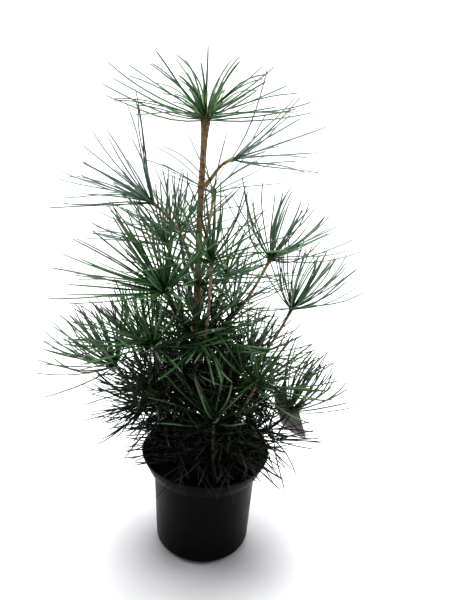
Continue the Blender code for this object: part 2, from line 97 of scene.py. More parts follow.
SWEEP_HALF_WIDTH = 3.0
SWEEP_FRONT = -2.4
SWEEP_BEND_AT = 1.0
SWEEP_BEND_RADIUS = 0.8
SWEEP_BEND_POINTS = 24
SWEEP_TOP = 3.4
SWEEP_WHITE = (0.86, 0.86, 0.87)
ROOM_GREY = (0.93, 0.96, 1.0)
ROOM_STRENGTH = 0.19
# Each lamp's place, the point it faces, its width and its power
LAMPS = {
    "lamp_above": ((-0.15, 0.08, 1.8), (0, 0, 0.1), 1.0, 42),
    "lamp_backdrop": ((0, 0.9, 2.3), (0, 1.8, 0.5), 1.6, 70),
    "lamp_left": ((-1.7, 0.2, 1.2), (0, 0, 0.3), 1.0, 6),
    "lamp_right": ((1.7, 0.3, 1.1), (0, 0, 0.3), 1.0, 8),
}


def put_mesh(name, points, faces, smooth=True):
    """An object from an array of points and rows of corner numbers."""
    mesh = bpy.data.meshes.new(name)
    mesh.from_pydata(np.asarray(points, float).tolist(), [], [list(face) for face in faces])
    mesh.polygons.foreach_set("use_smooth", np.full(len(mesh.polygons), smooth))
    return put(name, mesh)


def grid_faces(rows, columns, wrap=False):
    """Four-cornered faces of a grid numbered row by row, closed round the columns if wrapped."""
    row = np.arange(rows - 1)[:, None] * columns
    here = np.arange(columns if wrap else columns - 1)[None, :]
    after = (here + 1) % columns
    corners = [row + here, row + after, row + after + columns, row + here + columns]
    return np.stack(corners, axis=-1).reshape(-1, 4)


def plain_material(name, colour, roughness, specular):
    """A Principled material with one base colour, its nodes and its shader."""
    made = bpy.data.materials.new(name)
    made.use_nodes = True
    shader = made.node_tree.nodes["Principled BSDF"]
    shader.inputs["Base Color"].default_value = (*colour, 1)
    shader.inputs["Roughness"].default_value = roughness
    shader.inputs["Specular IOR Level"].default_value = specular
    return made, made.node_tree, shader


def sweep_mesh():
    """A profile of floor, quarter round and wall, carried straight across."""
    angle = np.linspace(0, math.pi / 2, SWEEP_BEND_POINTS)
    run = np.concatenate([[SWEEP_FRONT], SWEEP_BEND_AT + SWEEP_BEND_RADIUS * np.sin(angle)])
    run = np.append(run, run[-1])
    rise = np.concatenate([[0], SWEEP_BEND_RADIUS * (1 - np.cos(angle)), [SWEEP_TOP]])
    across = np.tile([-SWEEP_HALF_WIDTH, SWEEP_HALF_WIDTH], len(run))
    points = np.stack([across, np.repeat(run, 2), np.repeat(rise, 2)], axis=1)
    return put_mesh("paper_sweep", points, grid_faces(len(run), 2))


sweep = sweep_mesh()
sweep.data.materials.append(plain_material("white_paper", SWEEP_WHITE, 0.9, 0.2)[0])

room = bpy.data.worlds.new("dim_room")
room.use_nodes = True
room.node_tree.nodes["Background"].inputs["Color"].default_value = (*ROOM_GREY, 1)
room.node_tree.nodes["Background"].inputs["Strength"].default_value = ROOM_STRENGTH
bpy.context.scene.world = room
bpy.context.scene.view_settings.view_transform = "Standard"

for name, (place, aim, width, power) in LAMPS.items():
    lamp = put(name, bpy.data.lights.new(name, "AREA"))
    lamp.data.size = width
    lamp.data.energy = power
    turn = (Vector(aim) - Vector(place)).to_track_quat("-Z", "Y").to_matrix().to_4x4()
    lamp.matrix_world = Matrix.Translation(place) @ turn

# The pot
# A round nursery pot, blow moulded from black polypropylene. A flared band stiffens its rim,
# the bottom edge is rounded, and holes in the flat base let water out.

_, POT_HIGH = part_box("pot")
POT_HEIGHT = POT_HIGH.z
RIM_RADIUS = POT_HIGH.x
RIM_FOOT_RADIUS = RIM_RADIUS * 0.9
RIM_DEPTH = 0.022
BAND_ROUND = 0.0012
NECK_IN = 0.0004
NECK_DOWN = 0.004
BODY_RADIUS = 0.0690
BASE_RADIUS = 0.0640
BASE_EDGE = 0.009
WALL = 0.0018
DRAIN_COUNT = 8
DRAIN_RADIUS = 0.0055
DRAIN_CIRCLE = 0.043
POT_SIDES = 160
AXIS = 1e-7
POT_BLACK = (0.0010, 0.0010, 0.0012)
POT_DUST = (0.0022, 0.0022, 0.0026)


def noise_group(name, output, kind, reader, reads, gives, **takes):
    """A node group: noise on the object's own places, read by one more node.

    The group's number inputs are the noise's scale and detail, and those named in takes, each
    with the reader's socket that it feeds.
    """
    group = bpy.data.node_groups.new(name, "ShaderNodeTree")
    source = group.nodes.new("NodeGroupInput")
    place = group.nodes.new("ShaderNodeTexCoord")
    noise = group.nodes.new("ShaderNodeTexNoise")
    last = group.nodes.new(reader)
    result = group.nodes.new("NodeGroupOutput")
    fed = {"Scale": noise.inputs["Scale"], "Detail": noise.inputs["Detail"]}
    fed.update({label: last.inputs[socket] for label, socket in takes.items()})
    for label, socket in fed.items():
        group.interface.new_socket(label, in_out="INPUT", socket_type="NodeSocketFloat")
        group.links.new(source.outputs[label], socket)
    group.interface.new_socket(output, in_out="OUTPUT", socket_type=kind)
    group.links.new(place.outputs["Object"], noise.inputs["Vector"])
    group.links.new(noise.outputs["Fac"], last.inputs[reads])
    group.links.new(last.outputs[gives], result.inputs[output])
    return group, last


# Soft patches: noise that is 0 under one level, 1 over another and smooth between
PATCHES, spread = noise_group(
    "patches", "Mask", "NodeSocketFloat", "ShaderNodeMapRange", "Value", "Result",
    Low="From Min", High="From Max",
)
spread.interpolation_type = "SMOOTHSTEP"
# A fine relief: a bump from noise
GRAIN, _ = noise_group(
    "grain", "Normal", "NodeSocketVector", "ShaderNodeBump", "Height", "Normal",
    Strength="Strength", Distance="Distance",
)


def use_group(tree, group, **values):
    """Places a node group in a material with its own values, and gives its output."""
    node = tree.nodes.new("ShaderNodeGroup")
    node.node_tree = group
    for label, value in values.items():
        node.inputs[label].default_value = value
    return node.outputs[0]


def blend(tree, mask, first, second):
    """A colour that a mask carries from the first, a colour or an output, to the second."""
    mix = tree.nodes.new("ShaderNodeMix")
    mix.data_type = "RGBA"
    mix.inputs["B"].default_value = (*second, 1)
    if isinstance(first, tuple):
        mix.inputs["A"].default_value = (*first, 1)
    else:
        tree.links.new(first, mix.inputs["A"])
    tree.links.new(mask, mix.inputs["Factor"])
    return mix.outputs["Result"]


def between(tree, mask, first, second):
    """A number that a mask carries from the first to the second."""
    mix = tree.nodes.new("ShaderNodeMix")
    mix.inputs["A"].default_value = first
    mix.inputs["B"].default_value = second
    tree.links.new(mask, mix.inputs["Factor"])
    return mix.outputs["Result"]


def arc(radius, height, size, first, last, steps):
    """Points of a circle's arc in the plane of a turned profile, angles in degrees."""
    angle = np.radians(np.linspace(first, last, steps))
    return np.stack([radius + size * np.cos(angle), height + size * np.sin(angle)], axis=1)


def round_about(sides):
    """Angles at even steps once round."""
    return np.linspace(0, math.tau, sides, endpoint=False)


def turned(profile, sides):
    """Points of a profile of (radius, height) rows turned about the Z axis."""
    angle = round_about(sides)
    radius, height = np.asarray(profile).T[..., None]
    rows = [radius * np.cos(angle), radius * np.sin(angle), np.repeat(height, sides, axis=1)]
    return np.stack(rows, axis=-1).reshape(-1, 3)


def tidy_shell(piece):
    """Joins the points that coincide, as at the poles, and turns every face outwards."""
    shape = bmesh.new()
    shape.from_mesh(piece.data)
    bmesh.ops.remove_doubles(shape, verts=shape.verts[:], dist=1e-6)
    bmesh.ops.recalc_face_normals(shape, faces=shape.faces[:])
    shape.to_mesh(piece.data)
    shape.free()


band_foot = POT_HEIGHT - RIM_DEPTH
lip = WALL / 2
base_turn = BASE_RADIUS - BASE_EDGE
pot_profile = np.concatenate(
    [
        [[AXIS, 0]],
        arc(base_turn, BASE_EDGE, BASE_EDGE, -90, 0, 12),
        [[BODY_RADIUS - NECK_IN, band_foot - NECK_DOWN]],
        arc(BODY_RADIUS + BAND_ROUND, band_foot - BAND_ROUND, BAND_ROUND, 180, 90, 5),
        arc(RIM_FOOT_RADIUS - BAND_ROUND, band_foot + BAND_ROUND, BAND_ROUND, -90, -20, 5),
        arc(RIM_RADIUS - lip, POT_HEIGHT - lip, lip, 0, 180, 9),
        [[RIM_FOOT_RADIUS - WALL, band_foot + WALL], [BODY_RADIUS - WALL, band_foot + WALL]],
        arc(base_turn, BASE_EDGE, BASE_EDGE - WALL, 0, -90, 8),
        [[AXIS, WALL]],
    ]
)
pot_faces = grid_faces(len(pot_profile), POT_SIDES, wrap=True)
pot = put_mesh("nursery_pot", turned(pot_profile, POT_SIDES), pot_faces)
tidy_shell(pot)

drains = bmesh.new()
for angle in (np.arange(DRAIN_COUNT) + 0.5) * math.tau / DRAIN_COUNT:
    at = Vector((DRAIN_CIRCLE * math.cos(angle), DRAIN_CIRCLE * math.sin(angle), WALL / 2))
    bmesh.ops.create_cone(
        drains, cap_ends=True, segments=24, radius1=DRAIN_RADIUS, radius2=DRAIN_RADIUS,
        depth=WALL * 4, matrix=Matrix.Translation(at),
    )
drain_cutter = put("drain_cutter", bpy.data.meshes.new("drain_cutter"))
drains.to_mesh(drain_cutter.data)
drains.free()
drilling = pot.modifiers.new("drains", "BOOLEAN")
drilling.operation = "DIFFERENCE"
drilling.object = drain_cutter
bpy.context.view_layer.update()
drilled = pot.evaluated_get(bpy.context.evaluated_depsgraph_get())
pot.data = bpy.data.meshes.new_from_object(drilled)
pot.modifiers.clear()
bpy.data.objects.remove(drain_cutter)
pot.data.shade_smooth()
pot.data.set_sharp_from_angle(angle=math.radians(45))

pot_plastic, tree, shader = plain_material("black_polypropylene", POT_BLACK, 0.4, 0.034)
dusty = use_group(tree, PATCHES, Scale=26.0, Detail=4.0, Low=0.45, High=0.72)
relief = use_group(tree, GRAIN, Scale=900.0, Detail=2.0, Strength=0.25, Distance=0.0002)
tree.links.new(blend(tree, dusty, POT_BLACK, POT_DUST), shader.inputs["Base Color"])
tree.links.new(between(tree, dusty, 0.36, 0.50), shader.inputs["Roughness"])
tree.links.new(relief, shader.inputs["Normal"])
pot.data.materials.clear()
pot.data.materials.append(pot_plastic)
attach(pot, "root")
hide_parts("pot")

# The compost
# Dark moist peat with bark crumbs, filled to just under the rim. Its surface is lumpy and
# sinks a little where it meets the wall.

_, SOIL_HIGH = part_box("soil")
SOIL_TOP = SOIL_HIGH.z
SOIL_RADIUS = SOIL_HIGH.x
SOIL_SIDES = 150
SOIL_RINGS = 44
SOIL_INNER_RING = 0.003
SOIL_SHY = 0.0005
SOIL_LOWER = 0.0012
SOIL_LUMP = 0.00072
SOIL_EDGE_SHARE = 0.12
SOIL_EDGE_FALL = 0.0022
IN_WALL = WALL * 1.3
IN_NECK = WALL * 1.5
CRUMB_COUNT = 2600
CRUMB_SIZE = 0.0016
CRUMB_SIZES = (0.35, 1.25)
CRUMB_CORNERS = (0.55, 1.25)
CRUMB_SHAPE = (1.5, 1.0, 0.7)
CRUMB_REACH = 0.97
CRUMB_SINK = 0.0002
PEAT_DARK = (0.0010, 0.0009, 0.0008)
PEAT_BROWN = (0.0034, 0.0027, 0.0022)


def soil_place(radius, turn):
    """Places on the top: lumps of slow and quick waves that cross, and a fall at the edge."""
    x, y = radius * np.cos(turn), radius * np.sin(turn)
    slow = np.sin(x * 210 + 1.3) * np.sin(y * 190 + 0.4) + np.sin((x + y) * 330 + 2.1) * 0.6
    quick = np.sin(x * 900 + 3 * np.sin(y * 500)) * np.sin(y * 840 + 2 * np.sin(x * 610)) * 0.5
    edge = np.clip((radius / SOIL_RADIUS - 1 + SOIL_EDGE_SHARE) / SOIL_EDGE_SHARE, 0, 1)
    lumps = SOIL_LUMP * (slow + quick) * (1 - edge)
    return np.stack([x, y, SOIL_TOP - SOIL_LOWER + lumps - SOIL_EDGE_FALL * edge**2], axis=-1)


def soil_mesh():
    """A lumpy round top that falls at its edge, and a plain shell down inside the pot."""
    rings = np.linspace(SOIL_INNER_RING, SOIL_RADIUS - SOIL_SHY, SOIL_RINGS)
    radius = np.concatenate([[AXIS], rings])[:, None]
    top = soil_place(radius, round_about(SOIL_SIDES))
    top[0, :, 2] = top[0, :, 2].mean()
    lower = [
        (RIM_FOOT_RADIUS - IN_WALL, band_foot + IN_WALL),
        (BODY_RADIUS - IN_NECK, band_foot + IN_WALL),
        (BASE_RADIUS - IN_WALL, BASE_EDGE),
        (BASE_RADIUS - IN_WALL - BASE_EDGE, IN_WALL),
        (AXIS, IN_WALL),
    ]
    points = np.concatenate([top.reshape(-1, 3), turned(lower, SOIL_SIDES)])
    return put_mesh("peat", points, grid_faces(len(radius) + len(lower), SOIL_SIDES, wrap=True))


def crumb_cloud():
    """Many small squashed eight-faced crumbs, each turned its own way, strewn over the top."""
    chance = np.random.default_rng(7)
    reach = SOIL_RADIUS * CRUMB_REACH * np.sqrt(chance.uniform(0, 1, CRUMB_COUNT))
    places = soil_place(reach, chance.uniform(0, math.tau, CRUMB_COUNT))
    places[:, 2] = np.minimum(places[:, 2], SOIL_TOP - CRUMB_SINK)
    size = CRUMB_SIZE * chance.uniform(*CRUMB_SIZES, CRUMB_COUNT) ** 1.5
    corner = np.array([[1, 0, 0], [-1, 0, 0], [0, 1, 0], [0, -1, 0], [0, 0, 1], [0, 0, -1]])
    corners = corner * chance.uniform(*CRUMB_CORNERS, (CRUMB_COUNT, 6, 1)) * CRUMB_SHAPE
    x, y, z = np.moveaxis(corners, -1, 0)
    spin = chance.uniform(0, math.tau, CRUMB_COUNT)[:, None]
    x, y = x * np.cos(spin) - y * np.sin(spin), x * np.sin(spin) + y * np.cos(spin)
    points = places[:, None] + np.stack([x, y, z], axis=-1) * size[:, None, None]
    upper = [[0, 2, 4], [2, 1, 4], [1, 3, 4], [3, 0, 4]]
    under = [[2, 0, 5], [1, 2, 5], [3, 1, 5], [0, 3, 5]]
    faces = np.array(upper + under) + np.arange(CRUMB_COUNT)[:, None, None] * len(corner)
    return put_mesh("peat_crumbs", points.reshape(-1, 3), faces.reshape(-1, 3), smooth=False)


peat_material, tree, shader = plain_material("moist_peat", PEAT_DARK, 0.95, 0.08)
brown = use_group(tree, PATCHES, Scale=190.0, Detail=5.0, Low=0.48, High=0.68)
relief = use_group(tree, GRAIN, Scale=1200.0, Detail=2.0, Strength=0.8, Distance=0.0006)
tree.links.new(blend(tree, brown, PEAT_DARK, PEAT_BROWN), shader.inputs["Base Color"])
tree.links.new(relief, shader.inputs["Normal"])

peat = soil_mesh()
tidy_shell(peat)
peat.data.materials.append(peat_material)
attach(peat, "root")
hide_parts("soil")
crumbs = crumb_cloud()
crumbs.data.materials.append(peat_material)
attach(crumbs, "root")

# The leader and the boughs
# Young shoots with thin orange-brown bark. Small dry scales sit on it in a spiral, dark
# blotches mark it, and it swells where boughs leave it.

GAP = 0.0003
TRUNK_FOOT = Vector((-0.020, 0.004, 0.1283))
TRUNK_TOP = Vector((-0.0165, 0.008, 0.556))
TRUNK_SWAY = 0.0016
TRUNK_RADIUS_FOOT = 0.0047
TRUNK_RADIUS_TOP = 0.0027
ROOT_FLARE = 0.0026
CROWN_FLARE = 0.0022
TRUNK_FLARE_FADE = 40
TRUNK_SHARES = (0, 0.008, 0.025, 0.055, *np.linspace(0.1, 0.94, 14), 0.975, 1)
BOUGH_RADIUS_FOOT = 0.0024
BOUGH_RADIUS_TIP = 0.0016
BOUGH_FLARE = 0.0008
BOUGH_FLARE_FADE = 22
BOUGH_FOOT_PULL = 0.30
BOUGH_TIP_PULL = 0.38
BOUGH_LINE_SHARES = (0, 0.03, *(k / 6 for k in range(1, 7)))
# Each bough's height on the leader, heading, reach, tip height, and lean at its foot and tip
BOUGHS = {
    "bough_top_right": (0.489, -31, 0.037, 0.520, 54, 71),
    "bough_top_left": (0.386, -170, 0.053, 0.465, 14, 53),
    "bough_top_back": (0.400, 66, 0.034, 0.472, 26, 6),
    "bough_high_back_left": (0.324, 118, 0.062, 0.418, 34, 22),
    "bough_high_left": (0.268, 146, 0.050, 0.407, 26, 26),
    "bough_high_front": (0.256, -72, 0.052, 0.408, 42, 0),
    "bough_high_right": (0.296, 0, 0.084, 0.402, 66, 22),
    "bough_high_back": (0.276, 62, 0.070, 0.358, 44, 24),
    "bough_mid_front_left": (0.240, -128, 0.055, 0.368, 42, 36),
    "bough_mid_right": (0.196, 6, 0.118, 0.335, 66, 22),
    "bough_mid_back_right": (0.214, 38, 0.056, 0.324, 46, 8),
    "bough_mid_left": (0.184, -141, 0.062, 0.299, 46, 12),
    "bough_mid_back": (0.180, 96, 0.084, 0.300, 50, 24),
    "bough_low_left": (0.164, -172, 0.098, 0.257, 60, 32),
    "bough_low_back_left": (0.170, 148, 0.092, 0.262, 54, 30),
    "bough_low_back_right": (0.150, 44, 0.100, 0.240, 58, 34),
    "bough_low_front_right": (0.000, -32, 0.092, 0.258, 10, 24),
    "bough_low_right": (0.140, -9, 0.125, 0.208, 68, 28),
    "bough_low_front": (0.000, -63, 0.066, 0.212, -8, 2),
    "bough_small_front": (0.146, -112, 0.044, 0.176, 56, 44),
}
ROOTED_REACH = {"bough_low_front_right": 0.046, "bough_low_front": 0.076}
UP = Vector((0, 0, 1))
NO_LIMBS_WAY = Vector((0.31, 0.95, 0.05))
GOLDEN_ANGLE = math.radians(137.5)
SCALE_PITCH = 0.0034
SCALE_RISE = 0.00045
SCALE_STRAY = 0.2
SCALE_ABOVE = 0.24
SCALE_BELOW = 0.65
SCALE_ARC = 0.55
RIDGE_RISE = 0.15
RIDGE_COUNT = 5
RIDGE_TWIST = 160
RIDGE_WAVES = 420
LEADER_ROWS = 420
LEADER_OVERLAP = 0.003
LEADER_STEP = 0.002
BOUGH_STEP = 0.01
KNOT_WIDTH = 0.0035
KNOT_RISE = 0.0007
STOUT_FROM = 0.34
STOUT_OVER = 0.10
STOUT_RISE = 0.0006
LEADER_TAN = (0.39, 0.24, 0.115)
LEADER_DARK = (0.135, 0.078, 0.038)
# Dark copies of the bark for the lower leader and the shaded boughs: painted shade under the foliage
SHADED_LEADER_TAN = (0.036, 0.024, 0.016)
SHADED_BARK_DARK = (0.016, 0.011, 0.008)
LEADER_SHADED_BELOW = 0.285
FLECK_SHARE = 0.45


def trunk_height(share):
    """The height at a share of the leader's length."""
    return TRUNK_FOOT.z + (TRUNK_TOP.z - TRUNK_FOOT.z) * share


def trunk_share(height):
    """The share of the leader's length at a height."""
    return (height - TRUNK_FOOT.z) / (TRUNK_TOP.z - TRUNK_FOOT.z)


def trunk_point(height):
    """The middle of the leader at a height: a straight lean with one slow sway."""
    share = trunk_share(height)
    place = TRUNK_FOOT.lerp(TRUNK_TOP, share)
    place.x += TRUNK_SWAY * math.sin(math.tau * share)
    return place


def trunk_radius(height):
    """The leader tapers evenly, and widens at the root flare and under its own whorl."""
    share = trunk_share(height)
    plain = TRUNK_RADIUS_FOOT + (TRUNK_RADIUS_TOP - TRUNK_RADIUS_FOOT) * share
    flare = ROOT_FLARE * math.exp(-share * TRUNK_FLARE_FADE)
    crown = CROWN_FLARE * math.exp(-(1 - share) * TRUNK_FLARE_FADE)
    return plain + flare + crown


def bezier(points, share):
    """A point of the cubic curve through four control points."""
    a, b, c, d = points
    rest = 1 - share
    return a * rest**3 + b * (3 * rest**2 * share) + c * (3 * rest * share**2) + d * share**3


def foot_clear(tilt):
    """How far a bough's foot stands off what it grows from, so that its end face clears it."""
    return GAP + BOUGH_RADIUS_FOOT * math.sin(math.radians(abs(tilt)))


def bough_controls(name):
    """Leaves the leader or the compost at the first lean, and bends to its tip's lean."""
    leaves_at, heading, reach, tip_height, *leans = BOUGHS[name]
    heading = math.radians(heading)
    outward = Vector((math.cos(heading), math.sin(heading), 0))
    axis_foot = trunk_point(leaves_at or SOIL_TOP)
    tip = Vector((axis_foot.x, axis_foot.y, tip_height)) + outward * reach
    first_way, tip_way = (
        outward * math.sin(lean) + UP * math.cos(lean) for lean in map(math.radians, leans)
    )
    if leaves_at:
        foot = axis_foot + outward * (trunk_radius(leaves_at) + foot_clear(90 - leans[0]))
    else:
        foot = axis_foot + outward * ROOTED_REACH[name] + UP * foot_clear(leans[0])
    span = (tip - foot).length
    after_foot = foot + first_way * span * BOUGH_FOOT_PULL
    return foot, after_foot, tip - tip_way * span * BOUGH_TIP_PULL, tip


def bough_radius(share):
    """A bough tapers evenly, and widens under the whorl at its tip."""
    taper = BOUGH_RADIUS_FOOT + (BOUGH_RADIUS_TIP - BOUGH_RADIUS_FOOT) * share
    return taper + BOUGH_FLARE * math.exp(-(1 - share) * BOUGH_FLARE_FADE)


def limb_points(name):
    """The limb's middle line as (point, radius), from foot to tip."""
    if name == "trunk":
        heights = [trunk_height(share) for share in TRUNK_SHARES]
        line = [(trunk_point(height), trunk_radius(height)) for height in heights]
        line[0][0].xy = line[1][0].xy
        return line
    controls = bough_controls(name)
    return [(bezier(controls, share), bough_radius(share)) for share in BOUGH_LINE_SHARES]


def limb_place(name, share):
    """A point along a limb, the way it runs there, and its radius there."""
    if name == "trunk":
        height = trunk_height(share)
        way = trunk_point(height + LEADER_STEP) - trunk_point(height - LEADER_STEP)
        return trunk_point(height), way.normalized(), trunk_radius(height)
    controls = bough_controls(name)
    way = bezier(controls, share + BOUGH_STEP) - bezier(controls, share - BOUGH_STEP)
    return bezier(controls, share), way.normalized(), bough_radius(share)


def square_to(way):
    """Two unit directions square to a way and to each other."""
    first = way.cross(NO_LIMBS_WAY).normalized()
    return first, way.cross(first).normalized()


def unit(ways):
    """Directions made one unit long."""
    return ways / np.linalg.norm(ways, axis=-1, keepdims=True)


def lengths_along(line):
    """How far along a line each of its points lies."""
    return np.append(0, np.cumsum(np.linalg.norm(np.diff(line, axis=0), axis=1)))


def bark_tube(line, radii, sides, seed, rise=SCALE_RISE, pitch=SCALE_PITCH):
    """A tube round a line, its radius raised in a bump at each scale of a golden-angle spiral.

    A bump falls off as a bell both along the limb and round it, and is steeper above. Low
    ridges twist round the limb between the scales.
    """
    line = np.asarray(line)
    way = unit(np.gradient(line, axis=0))
    first = unit(np.cross(way, NO_LIMBS_WAY))
    second = np.cross(way, first)
    along = lengths_along(line)
    angle = round_about(sides)
    chance = np.random.default_rng(seed)
    count = max(int(along[-1] / pitch), 1)
    scale_at = (np.arange(count) + chance.uniform(SCALE_STRAY, 1 - SCALE_STRAY, count)) * pitch
    scale_turn = np.arange(count) * GOLDEN_ANGLE + chance.normal(0, SCALE_STRAY, count)
    height = np.zeros((len(line), sides))
    for place, turn in zip(scale_at, scale_turn):
        near = np.abs(along - place) < 2 * pitch
        up = (along[near] - place)[:, None]
        round_it = (angle - turn + math.pi) % math.tau - math.pi
        tall = pitch * np.where(up > 0, SCALE_ABOVE, SCALE_BELOW)
        height[near] += np.exp(-((up / tall) ** 2)) * np.exp(-((round_it / SCALE_ARC) ** 2))
    along = along[:, None]
    ridges = np.sin(angle * RIDGE_COUNT + along * RIDGE_TWIST) * np.sin(along * RIDGE_WAVES)
    radius = np.asarray(radii)[:, None] + rise * (height + RIDGE_RISE * ridges)
    rim = first[:, None] * np.cos(angle)[:, None] + second[:, None] * np.sin(angle)[:, None]
    points = line[:, None] + rim * radius[..., None]
    top = (len(line) - 1) * sides
    here = np.arange(sides)
    after = (here + 1) % sides
    foot_centre = np.full(sides, len(line) * sides)
    low = np.stack([after, here, foot_centre], axis=1)
    high = np.stack([top + here, top + after, foot_centre + 1], axis=1)
    points = np.concatenate([points.reshape(-1, 3), line[:1], line[-1:]])
    return points, grid_faces(len(line), sides, wrap=True), low, high


def join_tubes(name, tubes):
    """One mesh from several tubes: their points one after the other, their faces shifted."""
    points, faces, start = [], [], 0
    for tube_points, *tube_faces in tubes:
        points.append(tube_points)
        faces += [row for rows in tube_faces for row in (rows + start).tolist()]
        start += len(tube_points)
    return put_mesh(name, np.concatenate(points), faces)


def bark_material(name, light, dark, low, high):
    """Bark: dark blotches and fine dark flecks on a lighter ground, with a fine relief."""
    made, tree, shader = plain_material(name, light, 0.78, 0.3)
    blotches = use_group(tree, PATCHES, Scale=210.0, Detail=3.0, Low=low, High=high)
    flecks = use_group(tree, PATCHES, Scale=900.0, Detail=5.0, Low=0.40, High=0.62)
    relief = use_group(tree, GRAIN, Scale=1800.0, Detail=3.0, Strength=0.5, Distance=0.0003)
    fleck = tuple((1 - FLECK_SHARE) * a + FLECK_SHARE * b for a, b in zip(light, dark))
    ground = blend(tree, flecks, light, fleck)
    tree.links.new(blend(tree, blotches, ground, dark), shader.inputs["Base Color"])
    tree.links.new(relief, shader.inputs["Normal"])
    return made


def darken_below(piece, height):
    """Gives the faces under a height the piece's second material, a dark bark that is painted shade."""
    heights = np.array([face.center.z for face in piece.data.polygons])
    piece.data.polygons.foreach_set("material_index", (heights < height).astype(int))


heights = np.linspace(TRUNK_FOOT.z, TRUNK_TOP.z + LEADER_OVERLAP, LEADER_ROWS)
knots = np.array([row[0] for row in BOUGHS.values() if row[0]])
swelling = KNOT_RISE * np.exp(-(((heights[:, None] - knots) / KNOT_WIDTH) ** 2)).sum(axis=1)
swelling += STOUT_RISE * np.clip((heights - STOUT_FROM) / STOUT_OVER, 0, 1)
trunk_line = [trunk_point(height)[:] for height in heights]
trunk_radii = swelling + [trunk_radius(min(height, TRUNK_TOP.z)) for height in heights]
leader = join_tubes("leader_bark", [bark_tube(trunk_line, trunk_radii, sides=40, seed=3)])
# The dark bark that the leader's foot and the rooted shoots' feet take: painted shade under the foliage
shaded_bark = bark_material("shaded_leader_bark", SHADED_LEADER_TAN, SHADED_BARK_DARK, 0.42, 0.58)
leader.data.materials.append(bark_material("leader_bark", LEADER_TAN, LEADER_DARK, 0.40, 0.66))
leader.data.materials.append(shaded_bark)
darken_below(leader, LEADER_SHADED_BELOW)
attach(leader, "root")
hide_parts("trunk")

BOUGH_SHARES = np.linspace(-0.006, 1.02, 92)
BOUGH_DARK = (0.085, 0.055, 0.036)
ROOTED_SHADED_BELOW = 0.172
# Each kind of bough's light and dark bark, the levels between which its blotches set in, and
# its boughs. The kinds are lit and shaded copies of one bark. Those that aren't named here are in
# the shade and have the shaded kind, dark as painted shade; the lit kinds are painted lighter
BOUGH_BARKS = {
    "top_bough_bark": (LEADER_TAN, BOUGH_DARK, 0.50, 0.64, "bough_top_right", "bough_top_left"),
    # The top back bough's bark is much lighter and the high boughs' a little lighter: painted light on
    # limbs in the shade of their needles
    "lit_pale_bough_bark": ((0.62, 0.44, 0.24), (0.20, 0.12, 0.06), 0.52, 0.68, "bough_top_back"),
    "lit_high_bough_bark": (
        (0.46, 0.29, 0.17), BOUGH_DARK, 0.45, 0.62, "bough_high_front", "bough_high_left",
        "bough_high_right", "bough_high_back", "bough_mid_right",
    ),
    "shaded_bough_bark": ((0.085, 0.052, 0.031), SHADED_BARK_DARK, 0.42, 0.58),
    "rooted_shoot_bark": ((0.40, 0.26, 0.155), (0.10, 0.064, 0.040), 0.45, 0.62, *ROOTED_REACH),
}


def bough_tube(name, seed):
    """One bough's bark, from just inside what it grows from to just inside its whorl."""
    controls = bough_controls(name)
    line = [bezier(controls, share)[:] for share in BOUGH_SHARES]
    radii = [bough_radius(min(share, 1.0)) for share in BOUGH_SHARES]
    return bark_tube(line, radii, sides=18, seed=seed, rise=SCALE_RISE * 0.7)


tubes = {name: bough_tube(name, seed + 20) for seed, name in enumerate(BOUGHS)}
lit_names = {name for kind in BOUGH_BARKS.values() for name in kind[4:]}
for piece_name, (light, dark, low, high, *names) in BOUGH_BARKS.items():
    names = names or [name for name in BOUGHS if name not in lit_names]
    limbs_of_kind = join_tubes(piece_name, [tubes[name] for name in names])
    limbs_of_kind.data.materials.append(bark_material(piece_name, light, dark, low, high))
    # A rooted shoot's foot takes the dark bark too: painted shade near the compost
    if names[0] in ROOTED_REACH:
        limbs_of_kind.data.materials.append(shaded_bark)
        darken_below(limbs_of_kind, ROOTED_SHADED_BELOW)
    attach(limbs_of_kind, "root")
    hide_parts(*names)

# The label
# A blank tag of grey plastic, a little curled, with rounded corners and a paler strip at its
# end. Its narrow end is looped round a bough.

LABEL_BOUGH = "bough_mid_right"
LABEL_AT = 0.50
LABEL_LINE = ((0.0900, 0.007, 0.2290), (0.1026, 0.000, 0.2114), (0.1180, 0.012, 0.1620))
LABEL_HALF_WIDTHS = (0.0036, 0.0045, 0.0225, 0.0235)
LABEL_LEAST_HALF = 0.0027
LABEL_BROAD = Vector((0.65, -0.76, 0.01)).normalized()
LABEL_THICKNESS = 0.0010
LABEL_CORNER = 0.004
LABEL_CURL = 0.0016
LABEL_CURL_LEVEL = 0.3
LABEL_STRIP = 0.008
LOOP_SLACK = GAP * 1.5
LOOP_WALL = LABEL_THICKNESS * 1.4
LOOP_WIDTH = 0.007
LOOP_SQUARENESS = 0.5
RING_SIDES = 12
LABEL_GREY = (0.150, 0.141, 0.150)
LABEL_PALE = (0.46, 0.45, 0.46)


def loop_place():
    """The middle of the label's loop, the way through it, and its inner radius."""
    place, way, radius = limb_place(LABEL_BOUGH, LABEL_AT)
    return place, way, radius / math.cos(math.pi / RING_SIDES) + LOOP_SLACK


def label_knots():
    """The label's middle line, from inside its loop's wall to its end."""
    place, _, inner = loop_place()
    line = [Vector(point) for point in LABEL_LINE]
    outward = (line[0] - place).normalized()
    return [place + outward * (inner + LOOP_WALL / 2), *line]


